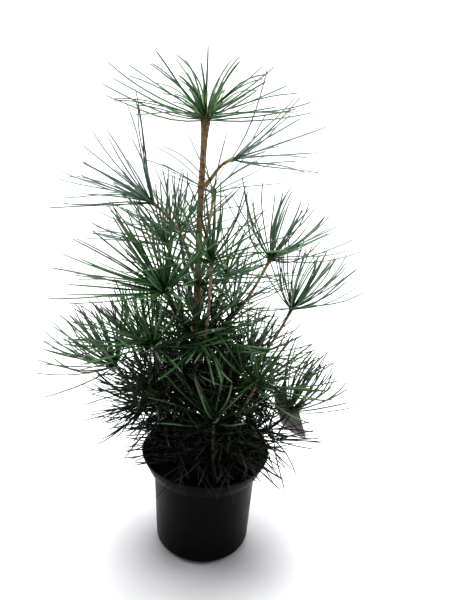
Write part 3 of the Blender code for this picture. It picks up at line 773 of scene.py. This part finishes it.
def label_plate(rows=40, end_rows=9, columns=12):
    """A closed strip: two curled faces a thickness apart, narrowed in arcs at its end."""
    knots = np.array([point[:] for point in label_knots()])
    span = lengths_along(knots)
    straight = span[-1] - LABEL_CORNER
    rounding = np.linspace(0, math.pi / 2, end_rows)
    before = np.linspace(0, straight, rows - end_rows, endpoint=False)
    along = np.concatenate([before, straight + LABEL_CORNER * np.sin(rounding)])
    middle = np.stack([np.interp(along, span, knots[:, axis]) for axis in range(3)], axis=1)
    corner = np.clip(along - straight, 0, LABEL_CORNER)
    half = np.interp(along, span, LABEL_HALF_WIDTHS) - LABEL_CORNER
    half = np.maximum(half + np.sqrt(LABEL_CORNER**2 - corner**2), LABEL_LEAST_HALF)
    broad = np.array(LABEL_BROAD)
    thick = unit(np.cross(broad, np.gradient(middle, axis=0)))
    across = np.linspace(-1, 1, columns)
    curl = LABEL_CURL * (along / span[-1])[:, None] * (across**2 - LABEL_CURL_LEVEL)
    sheet = middle[:, None] + broad * (half[:, None] * across)[..., None]
    sheet = sheet + thick[:, None] * curl[..., None]
    shift = thick[:, None] * (LABEL_THICKNESS / 2)
    points = np.concatenate([sheet + shift, (sheet - shift)[:, ::-1]], axis=1)
    body = grid_faces(rows, 2 * columns, wrap=True)
    near = np.arange(columns - 1)
    far = 2 * columns - 1 - near
    cap = np.stack([near + 1, near, far, far - 1], axis=1)
    end = cap[:, ::-1] + (rows - 1) * 2 * columns
    in_strip = np.repeat(along[:-1] > span[-1] - LABEL_STRIP, 2 * columns)
    return (points.reshape(-1, 3), body, cap, end), in_strip


def label_band(sides=40, steps=12):
    """The loop: a rounded band turned about its bough's way."""
    place, way, inner = loop_place()
    turn = round_about(steps)
    waves = np.cos(turn), np.sin(turn)
    wide, tall = (np.sign(wave) * np.abs(wave) ** LOOP_SQUARENESS for wave in waves)
    across = (inner + LOOP_WALL / 2 + LOOP_WALL / 2 * wide)[:, None]
    first, second = map(np.array, square_to(way))
    angle = round_about(sides)[:, None, None]
    points = np.array(place) + np.array(way) * (LOOP_WIDTH / 2 * tall)[:, None]
    points = points + (first * np.cos(angle) + second * np.sin(angle)) * across
    closed = np.concatenate([points, points[:1]])
    return closed.reshape(-1, 3), grid_faces(sides + 1, steps, wrap=True)


plate, in_strip = label_plate()
label = join_tubes("label_tag", [plate, label_band()])
label_grey, tree, shader = plain_material("grey_label_plastic", LABEL_GREY, 0.5, 0.3)
worn = use_group(tree, PATCHES, Scale=120.0, Detail=4.0, Low=0.4, High=0.7)
tree.links.new(between(tree, worn, 0.42, 0.6), shader.inputs["Roughness"])
label.data.materials.append(label_grey)
label.data.materials.append(plain_material("pale_label_strip", LABEL_PALE, 0.5, 0.3)[0])
strip_faces = np.zeros(len(label.data.polygons), int)
strip_faces[: len(in_strip)] = in_strip
label.data.polygons.foreach_set("material_index", strip_faces)
tidy_shell(label)
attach(label, "root")
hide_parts("plant_label")

# The whorls
# Each needle is a long waxy blade, grooved above and below, with a pale band under it and a
# thin brown tip. Needles stand round a scaled bud; older whorls stay as rings round a limb.

NEEDLE_WIDTH = 0.0031
NEEDLE_BEND_AT = 0.45
NEEDLE_CLEAR = 0.0037
NEEDLE_FREE_FROM = 0.006
NEVER_STRAIGHT = 1e-4
LIMB_CLEAR = 0.0021
POT_CLEAR = 0.006
POT_TESTS = (0.25, 0.45, 0.6, 0.8, 0.9, 1)
OVER_RIM_HANG = 0.035
REACH_SLACK = 0.002
FAR = 1.0
ROOTS_FROM = 0.25
ROOTS_OVER = 0.6
SPIN_SPREAD = 0.3
ANGLE_SPREAD = 5
OUTER_CROWDING = 1.35
LENGTH_SPREAD = (0.88, 1.04)
WIDTH_SPREAD = (0.88, 1.10)
INNER_SHORTER = 0.32
BEND_SPREAD = 18
SWAY = 0.09
TIP_ROOTS_AT = 0.45
TIP_HANG = 0.06
RING_HANG = 0.40
TRIES = 16
TRY_STEEPER = 2.5
LABEL_LANES = (-1, -0.67, -0.33, 0, 0.33, 0.67, 1)
LABEL_LANE_RADIUS = 0.00375
CROWN_STEM = 0.014
WHORL_STEM = 0.010
RING_HEIGHT = 0.006
RING_WALL = 0.0022
# A whorl's rule: how many needles, their length, the least and greatest angles that they leave
# the shoot at, and how far they bend
CROWN = (21, 0.141, 60, 90, -4)
CROWN_INNER = (9, 0.106, 10, 44, 36)
CROWN_YOUNG = (7, 0.046, 8, 48, 20)
USUAL_WHORL = (16, 0.108, 22, 92, -14)
WHORLS = {
    "bough_top_right": (14, 0.120, 2, 36, 18),
    "bough_top_left": (19, 0.138, 10, 54, 10),
    "bough_top_back": (15, 0.114, 24, 84, 14),
    "bough_high_left": (17, 0.114, 20, 78, 0),
    "bough_high_front": (17, 0.112, 16, 84, -8),
    "bough_high_right": (18, 0.113, 18, 74, -22),
    "bough_mid_right": (18, 0.111, 16, 66, -34),
    "bough_mid_front_left": (19, 0.124, 14, 60, 6),
    "bough_low_left": (17, 0.110, 18, 74, -34),
    "bough_low_right": (16, 0.110, 18, 62, -40),
    "bough_low_front_right": (17, 0.104, 18, 88, -22),
    "bough_low_front": (15, 0.106, 16, 68, -4),
    "bough_small_front": (10, 0.060, 22, 84, -10),
}
# The rings: the limb, the place along it, and the rule
RINGS = {
    "whorl_ring_1": ("trunk", 0.560, 12, 0.100, 50, 86, -12),
    "whorl_ring_2": ("trunk", 0.440, 12, 0.098, 48, 86, -10),
    "whorl_ring_3": ("trunk", 0.370, 12, 0.098, 50, 88, -8),
    "whorl_ring_4": ("trunk", 0.228, 12, 0.096, 50, 90, -6),
    "whorl_ring_5": ("trunk", 0.180, 12, 0.092, 52, 90, -2),
    "whorl_ring_high_front": ("bough_high_front", 0.42, 11, 0.088, 52, 90, -6),
    "whorl_ring_mid_left": ("bough_mid_left", 0.50, 11, 0.088, 52, 90, -8),
    "whorl_ring_mid_right": ("bough_mid_right", 0.36, 11, 0.086, 52, 90, -8),
    "whorl_ring_mid_back": ("bough_mid_back", 0.46, 11, 0.088, 52, 90, -8),
    "whorl_ring_low_left": ("bough_low_left", 0.56, 12, 0.086, 56, 96, -4),
    "whorl_ring_back_left": ("bough_low_back_left", 0.52, 12, 0.088, 52, 92, -6),
    "whorl_ring_back_right": ("bough_low_back_right", 0.52, 12, 0.088, 52, 92, -6),
    "whorl_ring_low_right": ("bough_low_right", 0.56, 12, 0.080, 56, 96, -4),
    "whorl_ring_right": ("bough_low_front_right", 0.46, 12, 0.084, 62, 94, 2),
    "whorl_ring_front": ("bough_low_front", 0.56, 12, 0.082, 76, 98, 6),
}
# A spray is the whorls that share one look. The first spray with a start of a whorl's name,
# after its first word, takes it
SPRAY_STARTS = {
    "crown": ("crown",),
    "top": ("top_left",),
    "pale": ("top",),
    "right": ("high_right", "mid_right"),
    "back": ("high_back", "high_left", "mid_back"),
    "front": ("low_right", "low_front"),
    "high": ("high",),
    "middle": ("mid", "ring_1", "ring_2", "ring_high"),
    "low": ("low",),
    "withered": ("ring_front", "small"),
    "old": ("ring_3", "ring_4", "ring_5"),
    "skirt": ("ring",),
}
# For each spray, what the finer needles add: which of a whorl's rules they follow, their
# number as a share of the solid ones, and their length as a share of the rule's
MORE = {
    "crown": ((0, 0.5, 1.02), (1, 0.8, 0.95), (1, 1.4, 0.62), (2, 2.0, 0.9)),
    "top": ((0, 0.2, 1.0), (0, 0.5, 0.5)),
    "pale": ((0, 0.1, 1.0),),
    "high": ((0, 1.1, 1.02),),
    "right": ((0, 1.1, 1.02),),
    "back": ((0, 1.35, 1.04),),
    "middle": ((0, 2.3, 1.08), (0, 0.3, 0.65)),
    "low": ((0, 2.3, 1.06),),
    "front": ((0, 1.0, 1.04),),
    "old": ((0, 2.2, 1.06), (0, 3.2, 0.60)),
    "skirt": ((0, 1.6, 1.04), (0, 2.4, 0.62)),
    "withered": ((0, 1.4, 1.0),),
}
MORE_LOOSE = 1.3
MORE_CLEAR = 0.0013
MORE_SPIN = 1.2


class Needle:
    """One needle: an arc in the plane of its shoot, with a little sideways sway."""

    def __init__(self, root, way, outward, length, first_angle, turn, sway, width):
        self.root, self.way, self.outward = root, way, outward
        self.side = way.cross(outward)
        self.length, self.first_angle, self.turn = length, first_angle, turn
        self.sway, self.width = sway, width

    def point(self, share):
        """The way turns evenly along the needle, so the place is its integral."""
        angle = self.first_angle + self.turn * share
        along = (math.sin(angle) - math.sin(self.first_angle)) / self.turn
        across = (math.cos(self.first_angle) - math.cos(angle)) / self.turn
        arc = self.way * along + self.outward * across
        return self.root + (arc + self.side * self.sway * share**2) * self.length

    def corners(self):
        """The root, the bend and the tip: two straight stretches stand for the arc."""
        return [self.point(share) for share in (0, NEEDLE_BEND_AT, 1)]


class Clearance:
    """What is already in place: straight stretches with a radius, each with its owner."""

    def __init__(self):
        self.rows = []
        self.table = None

    def add(self, start, end, radius, owner):
        """Puts one more stretch in place."""
        self.rows.append((start[:], end[:], radius, owner))
        self.table = None

    def gap(self, start, end, owner):
        """The least gap between a straight stretch and all of those that others own."""
        if not self.rows:
            return FAR
        if self.table is None:
            self.table = [np.array(column) for column in zip(*self.rows)]
        starts, ends, radii, owners = self.table
        start, end = np.array(start), np.array(end)
        mine, theirs, between = end - start, ends - starts, start - starts
        a, e = mine @ mine, (theirs**2).sum(1)
        b, c, f = theirs @ mine, between @ mine, (theirs * between).sum(1)
        share = np.clip((b * f - c * e) / np.maximum(a * e - b * b, 1e-15), 0, 1)
        other = np.clip((b * share + f) / e, 0, 1)
        share = np.clip((b * other - c) / a, 0, 1)
        apart = between + share[:, None] * mine - other[:, None] * theirs
        gaps = np.linalg.norm(apart, axis=1) - radii
        return float(np.where(owners == owner, FAR, gaps).min())


def clear_of_pot(place):
    """True where a needle may be: above the compost and the rim, or outside the pot."""
    radius = math.hypot(place.x, place.y)
    if radius < RIM_RADIUS - 2 * POT_CLEAR:
        return place.z > SOIL_TOP + POT_CLEAR / 2
    if radius < RIM_RADIUS + POT_CLEAR:
        return place.z > POT_HEIGHT + POT_CLEAR / 2
    return place.z > POT_HEIGHT - OVER_RIM_HANG


def within_reach(place):
    """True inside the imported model's box, which its furthest needles set."""
    low, high = cad_box
    return all(a - REACH_SLACK < p < b + REACH_SLACK for a, p, b in zip(low, place, high))


def free(needle, owner, hang, apart):
    """True where the needle keeps clear of the pot, every limb and the other whorls.

    Its tip hangs no lower than its root by more than a share of its length, and stays within
    the plant's reach.
    """
    root, bend, tip = needle.corners()
    if tip.z < root.z - needle.length * hang or not within_reach(tip):
        return False
    if not all(clear_of_pot(needle.point(share)) for share in POT_TESTS):
        return False
    after_root = root + (bend - root).normalized() * NEEDLE_FREE_FROM
    if min(limbs.gap(after_root, bend, owner), limbs.gap(bend, tip, owner)) < LIMB_CLEAR:
        return False
    return min(needles.gap(root, bend, owner), needles.gap(bend, tip, owner)) > apart


def whorl_seat(limb, share):
    """Where a whorl stands, and what its needles start from.

    These are its stem's foot, way and length, its radius, how far from the middle the needles'
    roots lie, and how far a needle may hang.
    """
    place, way, radius = limb_place(limb, share)
    if share < 1:
        foot = place - way * RING_HEIGHT / 2
        roots = radius + 2 * GAP + RING_WALL / 2
        return foot, way, RING_HEIGHT, radius + RING_WALL, roots, RING_HANG
    stem = CROWN_STEM if limb == "trunk" else WHORL_STEM
    return place, way, stem, radius, radius * TIP_ROOTS_AT, TIP_HANG


def whorl_needles(name, seed, rule, seat, apart, spin_first=0.0, loose=1.0):
    """Needles round a shoot, each turned by the golden angle from the last.

    The angle from the shoot runs from the outermost, lowest needles to the innermost.
    A needle that would hang or touch something is turned, set steeper and tried again,
    then skipped.
    """
    foot, way, stem, _, roots, hang = seat
    count, length, least, greatest, turn = rule
    chance = random.Random(seed)
    first, second = square_to(way)
    found = []
    for k in range(count):
        rank = (k + 0.5) / count
        for attempt in range(TRIES):
            spin = chance.uniform(-SPIN_SPREAD, SPIN_SPREAD) * (1 + attempt / 2)
            spin += GOLDEN_ANGLE * k + spin_first
            outward = first * math.cos(spin) + second * math.sin(spin)
            angle = greatest + (least - greatest) * rank**OUTER_CROWDING
            angle += chance.uniform(-ANGLE_SPREAD, ANGLE_SPREAD)
            angle = max(angle - attempt * TRY_STEEPER, least)
            bend = turn + chance.uniform(-BEND_SPREAD, BEND_SPREAD) * loose
            reach = length * (1 - INNER_SHORTER / loose * rank) * chance.uniform(*LENGTH_SPREAD)
            width = NEEDLE_WIDTH * chance.uniform(*WIDTH_SPREAD)
            root = foot + way * (stem * (ROOTS_FROM + ROOTS_OVER * rank)) + outward * roots
            first_angle = math.radians(angle)
            whole_turn = math.radians(angle + bend) + NEVER_STRAIGHT - first_angle
            sway = chance.uniform(-SWAY, SWAY) * loose
            needle = Needle(root, way, outward, reach, first_angle, whole_turn, sway, width)
            if free(needle, name, hang, apart):
                found.append(needle)
                break
    return found


def whorl_plans():
    """Every whorl in the order it is grown: name, seed, limb, share along it, needle rules."""
    yield ("whorl_crown", 1, "trunk", 1, CROWN, CROWN_INNER, CROWN_YOUNG)
    for seed, name in enumerate(BOUGHS):
        yield (name.replace("bough", "whorl"), seed + 10, name, 1, WHORLS.get(name, USUAL_WHORL))
    for seed, (name, (limb, share, *rule)) in enumerate(RINGS.items()):
        yield (name, seed + 60, limb, share, rule)


def spray_of(name):
    """The spray that a whorl belongs to."""
    start = name.removeprefix("whorl_")
    return next(spray for spray, starts in SPRAY_STARTS.items() if start.startswith(starts))


def keep_clear_of(found, name):
    """Puts needles in place, for later ones to miss."""
    for needle in found:
        root, bend, tip = needle.corners()
        needles.add(root, bend, 0, name)
        needles.add(bend, tip, 0, name)


limbs, needles = Clearance(), Clearance()
for name in ["trunk", *BOUGHS]:
    line = limb_points(name)
    for (start, radius), (end, _) in zip(line, line[1:]):
        limbs.add(start, end, radius, name)
edges = list(zip(label_knots(), LABEL_HALF_WIDTHS))
for (start, half), (end, next_half) in zip(edges, edges[1:]):
    for lane in LABEL_LANES:
        lane_start = start + LABEL_BROAD * half * lane
        lane_end = end + LABEL_BROAD * next_half * lane
        limbs.add(lane_start, lane_end, LABEL_LANE_RADIUS, "plant_label")
for name, _, limb, share, *_ in whorl_plans():
    foot, way, stem, radius, *_ = whorl_seat(limb, share)
    limbs.add(foot, foot + way * stem, radius, name)

sprays = {kind: [] for kind in (*MORE, "young")}
for name, seed, limb, share, *rules in whorl_plans():
    seat = whorl_seat(limb, share)
    whole = []
    for number, rule in enumerate(rules):
        found = whorl_needles(name, seed + 100 * number, rule, seat, NEEDLE_CLEAR)
        sprays["young" if number == 2 else spray_of(name)] += found
        whole += found
    keep_clear_of(whole, name)

for name, seed, limb, share, *rules in whorl_plans():
    seat = whorl_seat(limb, share)
    for number, (which, share_more, reach_more) in enumerate(MORE[spray_of(name)]):
        count, length, *angles = rules[which]
        more = (round(count * share_more), length * reach_more, *angles)
        more_seed = seed + 1000 + 100 * number
        spin = MORE_SPIN + number
        found = whorl_needles(name, more_seed, more, seat, MORE_CLEAR, spin, MORE_LOOSE)
        sprays["young" if which == 2 else spray_of(name)] += found
        keep_clear_of(found, name)

# The side shoots and the buds
# Short thin shoots deep in the plant carry more old needles. Every whorl's stem is a bud or a ring
# wrapped in small dry scales, a light green on the two palest whorls as painted light on hubs in shade.

SPRIG_WHORL = (14, 0.078, 24, 96, -8)
SPRIG_CLEAR = 0.0010
SPRIG_LENGTHS = (0.020, 0.040)
SPRIG_LEANS = (45, 85)
SPRIG_SHIFTS = (-0.012, 0.012)
SPRIG_RADIUS = 0.0011
SPRIG_FOOT_WIDER = 1.25
SPRIG_POINTS = 14
SPRIG_SUNK = 0.5
SPRIG_RUN = 0.85
SPRIG_LIFT = 0.3
SPRIG_PULL = 0.4
SPRIG_UPTURN = 1.2
SPRIG_STRAY = 0.5
SPRIG_STEM = 0.005
SPRIG_ROOTS_AT = 0.6
SPRIG_HANG = 0.3
# Along each limb, where side shoots stand and how many
SPRIGS = {
    "trunk": ((0.370, 2), (0.228, 4), (0.180, 5), (0.110, 9), (0.060, 10)),
    "bough_high_front": ((0.42, 1),),
    "bough_mid_left": ((0.50, 3),),
    "bough_mid_right": ((0.36, 3), (0.16, 4)),
    "bough_mid_back": ((0.46, 3),),
    "bough_low_left": ((0.56, 3), (0.25, 4)),
    "bough_low_back_left": ((0.52, 4), (0.22, 3)),
    "bough_low_back_right": ((0.76, 4), (0.52, 4), (0.22, 4)),
    "bough_low_right": ((0.56, 4), (0.25, 4)),
    "bough_low_front_right": ((0.70, 3), (0.46, 3), (0.20, 4)),
    "bough_small_front": ((0.45, 4),),
}
SPRIG_SPRAYS = {
    "trunk": "old", "bough_low_front_right": "withered", "bough_small_front": "withered",
}
BUD_SHARES = (-0.15, 0, 0.4, 0.9, 1.15, 1.25)
BUD_SHAPE = (0.9, 1.02, 1.15, 0.8, 0.4, 0.05)
BUD_ROWS = 22
RING_ROWS = 18
RING_SPAN = (-0.5, 1.5)
RING_BULGE = 0.75
LIT_GREEN_BUDS = ("whorl_top_right", "whorl_top_back")
# Each kind of buds' material with its light and dark colours
BUD_KINDS = {
    "bud_scales": ("bud_scale_brown", (0.17, 0.135, 0.065), (0.070, 0.066, 0.028)),
    # The two top hubs' scales are a light green: painted light on hubs that lie in shade
    "lit_green_bud_scales": ("lit_bud_green", (0.34, 0.42, 0.24), (0.14, 0.24, 0.07)),
}


def sprig(place, way, radius, outward, lean, length):
    """A side shoot's control points: it leaves its limb at a lean and turns upwards."""
    first = way * math.cos(lean) + outward * math.sin(lean)
    foot = place + outward * radius * SPRIG_SUNK
    tip = foot + (first * SPRIG_RUN + UP * SPRIG_LIFT) * length
    last = (first + UP * SPRIG_UPTURN).normalized()
    return foot, foot + first * length * SPRIG_PULL, tip - last * length * SPRIG_PULL, tip


def free_sprig(limb, share, k, chance):
    """A side shoot that clears the pot and the other limbs, or None after some tries."""
    place, way, radius = limb_place(limb, share)
    first, second = square_to(way)
    for attempt in range(TRIES):
        stray = chance.uniform(-SPRIG_STRAY, SPRIG_STRAY) * (1 + attempt)
        spin = GOLDEN_ANGLE * (k + 0.5) + stray
        outward = first * math.cos(spin) + second * math.sin(spin)
        start = place + way * chance.uniform(*SPRIG_SHIFTS)
        lean = math.radians(chance.uniform(*SPRIG_LEANS))
        controls = sprig(start, way, radius, outward, lean, chance.uniform(*SPRIG_LENGTHS))
        clear = limbs.gap(bezier(controls, 0.3), controls[3], limb) > 2 * SPRIG_RADIUS
        if clear and clear_of_pot(controls[3]) and clear_of_pot(bezier(controls, 0.6)):
            return controls
    return None


bud_tubes = {kind: [] for kind in BUD_KINDS}
bud_whorls = {kind: [] for kind in BUD_KINDS}
places = [(limb, *row) for limb, rows in SPRIGS.items() for row in rows]
for number, (limb, share, count) in enumerate(places):
    chance = random.Random(number + 300)
    for k in range(count):
        controls = free_sprig(limb, share, k, chance)
        if controls is None:
            continue
        owner = f"sprig_{number}_{k}"
        line = [bezier(controls, at)[:] for at in np.linspace(0, 1, SPRIG_POINTS)]
        radii = np.linspace(SPRIG_RADIUS * SPRIG_FOOT_WIDER, SPRIG_RADIUS, SPRIG_POINTS)
        tube = bark_tube(line, radii, sides=8, seed=number * 10 + k, rise=0.0002, pitch=0.003)
        bud_tubes["bud_scales"].append(tube)
        middle, tip = bezier(controls, 0.5), controls[3]
        limbs.add(controls[0], middle, SPRIG_RADIUS, owner)
        limbs.add(middle, tip, SPRIG_RADIUS, owner)
        tip_way = (tip - controls[2]).normalized()
        seat = (tip, tip_way, SPRIG_STEM, SPRIG_RADIUS, SPRIG_RADIUS * SPRIG_ROOTS_AT, SPRIG_HANG)
        seed = number * 40 + k + 2000
        found = whorl_needles(owner, seed, SPRIG_WHORL, seat, SPRIG_CLEAR, loose=MORE_LOOSE)
        sprays[SPRIG_SPRAYS.get(limb, "skirt")] += found
        keep_clear_of(found, owner)

for number, (name, _, limb, share, *_) in enumerate(whorl_plans()):
    foot, way, stem, radius, *_ = whorl_seat(limb, share)
    if share < 1:
        run = np.linspace(*RING_SPAN, RING_ROWS)
        wide = radius - RING_WALL * (1 - RING_BULGE * np.exp(-(((run - 0.5) / 0.5) ** 2)))
    else:
        run = np.linspace(BUD_SHARES[0], BUD_SHARES[-1], BUD_ROWS)
        wide = radius * np.interp(run, BUD_SHARES, BUD_SHAPE)
    line = [(foot + way * stem * at)[:] for at in run]
    kind = "lit_green_bud_scales" if name in LIT_GREEN_BUDS else "bud_scales"
    bud_tubes[kind].append(bark_tube(line, wide, sides=16, seed=number + 500, pitch=0.0011))
    bud_whorls[kind].append(name)

for kind, (material_name, light, dark) in BUD_KINDS.items():
    buds = join_tubes(kind, bud_tubes[kind])
    buds.data.materials.append(bark_material(material_name, light, dark, 0.44, 0.6))
    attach(buds, "root")
    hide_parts(*bud_whorls[kind])

# The blades
# The needles' own bodies, one piece for each spray. Their colours hold painted light and shade:
# dull dark green as painted shade deep and low in the plant, paler and bluer as painted light high
# up and on the right where light gets round them, and withered near the compost.

BLADE_WIDTH = 0.0027
BLADE_DEPTH = 0.0014
BLADE_RINGS = 9
BLADE_ACROSS = np.array([1, 0.55, 0, -0.55, -1, -0.55, 0, 0.55])
BLADE_HIGH = np.array([0, 0.95, 0.45, 0.95, 0, -0.95, -0.5, -0.95])
BLADE_SIDES = len(BLADE_ACROSS)
BAND_SIDES = (5, 6)
BOW = 0.024
WAVE = 0.010
ROLL = 0.35
ROOT_WIDTH = 0.66
ROOT_OVER = 0.14
NARROW_BY = 0.12
NARROW_FROM = 0.45
TIP_BLUNT = 9
TIP_LEAST = 0.0004
ROWS_TO_TIP = 1.25
ROOT_CURVE = 0.8
NARROW_CURVE = 1.5
DEEP_SHARE = 0.45
# The first tone holds the randomly darker needles and the root row, whose dark green is painted shade
# where the needles crowd at the hub
DARK_TONE_AND_HUB_SHADE, LIT_OUTER, BAND, TIP = 0, 2, 3, 4
# From this row to the tip the blades take a paler green: painted light on the thin outer halves
LIT_OUTER_FROM = 4
TIP_ROWS = 1
# The materials' parts; the third part's paler green on the outer halves is painted light
BLADE_PARTS = ("deep", "plain", "lit_outer", "band", "tip")
# Each spray's blade width as a share of the usual one, and its sheen. Then the green of the roots and
# the darker needles, of the others, of the outer halves, and of the band below, all in thousandths.
# The sprays are lit and shaded copies of one green: dark sprays low in the plant are painted shade,
# paler and bluer sprays high up and on the right are painted light. The roots' green is partly painted
# shade at the hub, and the outer halves' paler green is painted light
SPRAY_LOOKS = {
    "crown": (0.90, 0.20, (11, 55.2, 8.1), (26, 92.9, 20.8), (62.4, 137.2, 63.4), (70.2, 144.3, 82.6)),
    # The top, pale and right sprays are paler and bluer: painted light where light gets round them
    "top": (0.70, 0.20, (30, 93, 25.2), (71.6, 129.7, 89.3), (150.2, 200, 177.4), (231, 286.5, 280.5)),
    "pale": (
        0.70, 0.20, (69.4, 148.5, 59.8), (145.6, 214.5, 189.8), (229.6, 291.5, 276), (336, 396, 402.5),
    ),
    "high": (0.88, 0.16, (12.5, 55, 8.6), (30.6, 108.1, 21.3), (74.6, 149, 64.5), (88.5, 160.8, 94.1)),
    "right": (
        0.86, 0.18, (16.6, 72.1, 12.3), (49.4, 132.4, 46.4), (114.6, 189.5, 125.6), (159.1, 235, 185.2),
    ),
    "back": (
        0.82, 0.18, (23.8, 85, 19.3), (67.7, 149.4, 66.6), (145.2, 215.2, 163.7), (188.1, 266.9, 224.8),
    ),
    "middle": (0.90, 0.12, (15.4, 61.8, 11.7), (33.8, 114.6, 25.8), (80.9, 160.8, 70.8), (89, 158.6, 98)),
    "low": (0.88, 0.12, (14.9, 56, 12.3), (35.6, 98.6, 32.5), (78.7, 138.3, 73), (90.2, 142.9, 94.1)),
    "front": (1.00, 0.14, (17.6, 49.7, 10.1), (36.3, 88.6, 23.5), (66, 125.3, 48.2), (79.2, 131.8, 75)),
    # The old and skirt sprays deep in the plant are nearly black: painted shade
    "old": (0.70, 0.07, (6.8, 10.2, 5.9), (13.1, 20.5, 11.9), (22.5, 34.4, 22.8), (31.4, 40.9, 33.3)),
    "skirt": (0.66, 0.08, (12.3, 20.3, 11.1), (21.7, 37.8, 20.9), (36.2, 60.1, 37.8), (55.1, 72.9, 60.7)),
    "withered": (0.70, 0.08, (4.8, 4.6, 3.8), (8.4, 7.7, 6.5), (14.1, 12.8, 10.2), (15.8, 14.7, 12.5)),
    "young": (1.00, 0.30, (30, 95, 18), (200, 340, 110), (300, 420, 170), (270, 380, 180)),
}
TIP_BROWN = (34, 28, 18)


def blades(found, seed, slim):
    """Grooved blades along the needles' arcs, all at once.

    Rows run along each needle and eight corners go round it: two raised edges with a groove
    between them on each face. The blade widens from its root, narrows slowly and closes. Its
    arc is lifted a little by one bow and one wave over its length.
    """
    chance = np.random.default_rng(seed)
    root, way, outward = (
        np.array([getattr(needle, key)[:] for needle in found])[:, None]
        for key in ("root", "way", "outward")
    )
    side = np.cross(way, outward)
    length, start, turn, sway, width = (
        np.array([getattr(needle, key) for needle in found])[:, None]
        for key in ("length", "first_angle", "turn", "sway", "width")
    )
    share = 1 - np.linspace(1, 0, BLADE_RINGS) ** ROWS_TO_TIP
    angle = start + turn * share
    bow, wave = chance.normal(0, (BOW, WAVE), (len(found), 2)).T[..., None]
    lift = bow * np.sin(math.pi * share) + wave * np.sin(math.tau * share)
    along = (np.sin(angle) - np.sin(start)) / turn + lift * np.sin(angle)
    across = (np.cos(start) - np.cos(angle)) / turn - lift * np.cos(angle)
    sideways = sway * share**2
    arc = along[..., None] * way + across[..., None] * outward + sideways[..., None] * side
    middle = root + length[..., None] * arc
    run = unit(np.gradient(middle, axis=1))
    face = np.sin(angle)[..., None] * way - np.cos(angle)[..., None] * outward
    broad = unit(np.cross(run, face))
    face = np.cross(broad, run)
    roll = chance.normal(0, ROLL, (len(found), 1, 1))
    broad, face = (
        broad * np.cos(roll) + face * np.sin(roll),
        face * np.cos(roll) - broad * np.sin(roll),
    )
    swell = ROOT_WIDTH + (1 - ROOT_WIDTH) * np.clip(share / ROOT_OVER, 0, 1) ** ROOT_CURVE
    outer = np.clip((share - NARROW_FROM) / (1 - NARROW_FROM), 0, 1)
    close = np.sqrt(np.clip(1 - share**TIP_BLUNT, TIP_LEAST, 1))
    size = swell * (1 - NARROW_BY * outer**NARROW_CURVE) * close
    half = BLADE_WIDTH / 2 * slim * (width / NEEDLE_WIDTH) * size
    deep = BLADE_DEPTH / 2 * np.sqrt(size)
    points = (
        middle[:, :, None]
        + broad[:, :, None] * (half[..., None] * BLADE_ACROSS)[..., None]
        + face[:, :, None] * (deep[:, None] * BLADE_HIGH)[..., None]
    )
    last = (BLADE_RINGS - 1) * BLADE_SIDES
    ring = grid_faces(BLADE_RINGS, BLADE_SIDES, wrap=True)
    caps = np.array([[0, 7, 6, 5], [0, 5, 4, 1], [1, 4, 3, 2]])
    tips = np.array([[5, 6, 7, 0], [1, 4, 5, 0], [2, 3, 4, 1]]) + last
    one = np.concatenate([ring, caps, tips])[:, ::-1]
    faces = one + np.arange(len(found))[:, None, None] * BLADE_RINGS * BLADE_SIDES
    tone = chance.choice(2, len(found), p=(DEEP_SHARE, 1 - DEEP_SHARE))
    tone = np.repeat(tone[:, None], len(one), axis=1)
    # Paler outer halves: painted light
    tone[:, LIT_OUTER_FROM * BLADE_SIDES : last] = LIT_OUTER
    tone[:, :last][:, np.isin(np.arange(last) % BLADE_SIDES, BAND_SIDES)] = BAND
    # The root row takes the darkest green: painted shade at the hub
    tone[:, :BLADE_SIDES] = DARK_TONE_AND_HUB_SHADE
    tone[:, last - TIP_ROWS * BLADE_SIDES : last] = TIP
    tone[:, -len(tips) :] = TIP
    return points.reshape(-1, 3), faces.reshape(-1, 4), tone.reshape(-1)


def needle_material(name, colour, specular):
    """A plain waxy colour: only its gloss and its fine relief vary."""
    made, tree, shader = plain_material(name, colour, 0.42, specular)
    waxy = use_group(tree, PATCHES, Scale=160.0, Detail=2.0, Low=0.35, High=0.65)
    relief = use_group(tree, GRAIN, Scale=2400.0, Detail=1.0, Strength=0.15, Distance=0.0001)
    tree.links.new(between(tree, waxy, 0.34, 0.52), shader.inputs["Roughness"])
    tree.links.new(relief, shader.inputs["Normal"])
    return made


for number, (kind, found) in enumerate(sprays.items()):
    slim, specular, *colours = SPRAY_LOOKS[kind]
    points, faces, tone = blades(found, number + 5, slim)
    piece = put_mesh("needles_" + kind, points, faces)
    for part, colour in zip(BLADE_PARTS, (*colours, TIP_BROWN)):
        colour = tuple(value / 1000 for value in colour)
        piece.data.materials.append(needle_material(f"{kind}_{part}", colour, specular))
    piece.data.polygons.foreach_set("material_index", tone)
    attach(piece, "root")
    whorls = [plan[0] for plan in whorl_plans() if spray_of(plan[0]) == kind]
    if whorls:
        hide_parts(*whorls)
